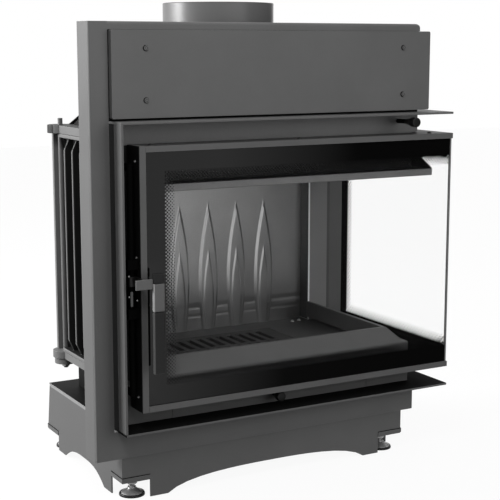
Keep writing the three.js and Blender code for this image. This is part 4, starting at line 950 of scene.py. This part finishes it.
low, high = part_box("smoke_hood")
right = low.x + LUG_WIDTH
outline = [(low.x, low.z), (right, low.z), (right, low.z + LUG_RISE)]
lug = prism("hood_lug", 1, high.y - THIN, high.y, outline)
place_piece("hood_lug", lug, "stove", finish["black_steel"])

# %% Bracket plates and bolts
PLATE_FOOT = 33 * MM
PLATE_TOP = 40 * MM
SEAM_TOP = 41.3 * MM
PROUD = 1.0 * MM
BOLTS = ((561 * MM, -20.3 * MM), (578 * MM, -18.3 * MM))
plates, seams = [], []
for corner in CORNERS:
    low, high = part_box("foot_bracket_" + corner)
    wall, out = (low.x, -PROUD) if "left" in corner else (high.x, PROUD)
    spans = [((min(wall, wall + out), low.y), (max(wall, wall + out), high.y))]
    if "front" in corner:
        spans.append(((min(low.x, low.x + out), low.y - PROUD), (max(high.x, high.x + out), low.y)))
    for start, end in spans:
        plates.append(bar_mesh("plate", (*start, PLATE_FOOT), (*end, PLATE_TOP)))
        seams.append(bar_mesh("seam", (*start, PLATE_TOP), (*end, SEAM_TOP)))
place_piece("bracket_plates", merged("bracket_plates", plates), "stove",
            finish["pedestal_paint"])
place_piece("bracket_seams", merged("bracket_seams", seams), "stove", finish["black_steel"])

plate_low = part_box("back_plate")[0]
hearth_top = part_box("hearth_casting")[1].z
heads = [dome_screw((frame_low.x + bx, plate_low.y + by, hearth_top), UP, 4 * MM, 3 * MM)
         for bx, by in BOLTS]
place_piece("plate_bolts", merged("plate_bolts", heads), "stove", finish["bright_steel"])
print("strips: tongue, glass joint, cement, gusset, lug and", len(seams), "seams")

# %% [markdown]
# ## Pull knobs
# Two black knobs work the air gate and the flue damper. Each is a turned grip: a round face
# with a rounded rim, and a cone that runs down to the rod.

# %% Knobs
KNOB_RADIUS = 8.7 * MM
KNOB_RIM = 1.6 * MM
KNOB_LENGTH = 12 * MM
ROD_RADIUS = 4 * MM
DAMPER_ROD_MIDDLE = 8.5 * MM


def pull_knob(name, node_name, neck, x, z):
    """Knob over the end of a pull rod: a flat face with a rounded rim, then a curved cone."""
    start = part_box(node_name)[0].y
    narrow = ROD_RADIUS * 1.1
    cone = [(narrow + (KNOB_RADIUS - narrow) * (1 - s) ** 1.6, KNOB_LENGTH + neck * s)
            for s in np.linspace(0, 1, 8)]
    rim = arc((KNOB_RADIUS - KNOB_RIM, 1.5 * MM), KNOB_RIM, -90, 0, 6)
    rows = [(0, -0.1 * MM), *rim, *cone, (ROD_RADIUS, KNOB_LENGTH + 0.4 * MM + neck)]
    mesh = turned(name, rows, (x, start, z), (0, 1, 0))
    place_piece(name, mesh, body_of_node[node_name], finish["grip_plastic"])


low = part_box("damper_rod")[0]
pull_knob("damper_knob", "damper_rod", 22 * MM, low.x + DAMPER_ROD_MIDDLE, low.z + DAMPER_ROD_MIDDLE)
low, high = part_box("air_rod")
pull_knob("air_knob", "air_rod", 10 * MM, (low.x + high.x) / 2, (low.z + high.z) / 2)

# %% [markdown]
# ## The remaining pieces
# Everything else is a rounded copy of its solid. The side pane gets a print of its own. Some
# pieces get painted shade on a side, a top or a strip that lies in shade, and edges that catch
# the light get a painted highlight. The lintel wears a lighter coat as painted light, where the
# shelf above shades it.

# %% Coats of single pieces
# The front casting's lighter coat is painted light, where the top shelf shades the lintel.
coat_of = {"front_casting": lintel_painted_light, "sill": sill_iron, "grate": grate_iron,
           "side_casting": finish["raw_iron"], "side_glass": side_print}
for coat, names in [
    # Painted shade: the latch, its strikes and the right tie rod sit in deep shade and are painted near
    # black.
    (painted_shade_black, ("latch_shaft", "latch_case", "strike_lower", "strike_upper", "tie_rod_right")),
    (light_iron, ("back_wall", "left_wall", "tie_rod_left", "top_casting", "hearth_casting")),
    (inner_iron, ("rear_column", "throat_lip")),
    (matt_coat, ("bottom_shelf", "sleeve_left_wall")),
    (finish["black_steel"], ("smoke_hood", "air_box", "pedestal_top")),
]:
    coat_of.update({name: coat for name in names})

# %% Painted shade and painted highlights on strips and sides
FAR = 10.0


def paint_shade_or_highlight(name, face, start, end, grey, box_of=None, share=1.0):
    """Paints shade or a highlight on a piece: another grey between two distances in millimetres
    from a face of its box, or of another piece's box. The face is an axis and a sign, and None
    leaves an end open."""
    axis, sign = face
    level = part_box(box_of or name)[sign == "+"]["XYZ".index(axis)]
    near = -FAR if start is None else level + start * MM
    far = FAR if end is None else level + end * MM
    coat = coat_of.get(name, finish[slot_of_node[name]])
    coat_of[name] = zoned(coat, axis, near, far, grey, share)


# Painted shade: the door's left side, the shelf's top and left end, the rail's top and the back of the
# handle arm lie in shade and are painted dark.
paint_shade_or_highlight("door_left_stile", "X-", None, 0.7, 8)
paint_shade_or_highlight("bottom_shelf", "Z+", -0.3, None, 14)
paint_shade_or_highlight("bottom_shelf", "X-", None, 1.4, 10)
paint_shade_or_highlight("door_top_rail", "Z+", -0.3, None, 20, share=0.6)
paint_shade_or_highlight("handle_arm", "Y-", 6, None, 8)
# Painted shade in the recesses of the left castings: behind the rib tips, at the rear end and on the top,
# and deeper inside the hearth casting.
paint_shade_or_highlight("left_wall", "X-", 1.6, None, 20)
paint_shade_or_highlight("left_wall", "Y+", -14, None, 14)
paint_shade_or_highlight("top_casting", "Z+", -0.3, None, 10)
paint_shade_or_highlight("top_casting", "X-", None, 5, 12)
paint_shade_or_highlight("hearth_casting", "X-", 20, None, 56, box_of="left_wall")
# Painted shade on the front casting below the door's top rail and on the top of the throat lip.
paint_shade_or_highlight("front_casting", "Z+", None, -2, 14, box_of="door_top_rail")
paint_shade_or_highlight("throat_lip", "Z+", -0.3, None, 12)
# A painted highlight along the rear column's left edge, and painted shade on its left side and on the side
# casting's.
paint_shade_or_highlight("rear_column", "X-", 0.3, 3.4, 250)
paint_shade_or_highlight("rear_column", "X-", None, 0.3, 44)
paint_shade_or_highlight("side_casting", "X-", None, 0.4, 56)
# Painted highlights on edges that catch the light: the pedestal's top edges, the frame's corner, the grip
# and the sleeve.
paint_shade_or_highlight("pedestal_top", "X-", None, 0.6, 140)
paint_shade_or_highlight("pedestal_walls", "Z+", -3.5, None, 140)
paint_shade_or_highlight("front_frame", "X-", 0.4, 2.4, 125)
paint_shade_or_highlight("handle_grip", "X-", None, 1.8, 84)
paint_shade_or_highlight("handle_sleeve", "X-", None, 1.8, 170)
# Painted shade on the part of the sleeve wall that lies behind the frame's front.
paint_shade_or_highlight("sleeve_left_wall", "Y-", -6, None, 10, box_of="front_frame")

# %% Rounded copies of the rest
width_of = {"front_frame": 1.3 * MM, "handle_sleeve": 2.6 * MM, "handle_grip": 2.6 * MM,
            "handle_cap": 2.6 * MM, "rear_column": 2.2 * MM}
already_shown = {n for o in bpy.data.objects for n in o.get("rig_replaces", [])}
for name in sorted(nodes):
    if name not in already_shown:
        finished_copy(name, coat_of.get(name), width_of.get(name))
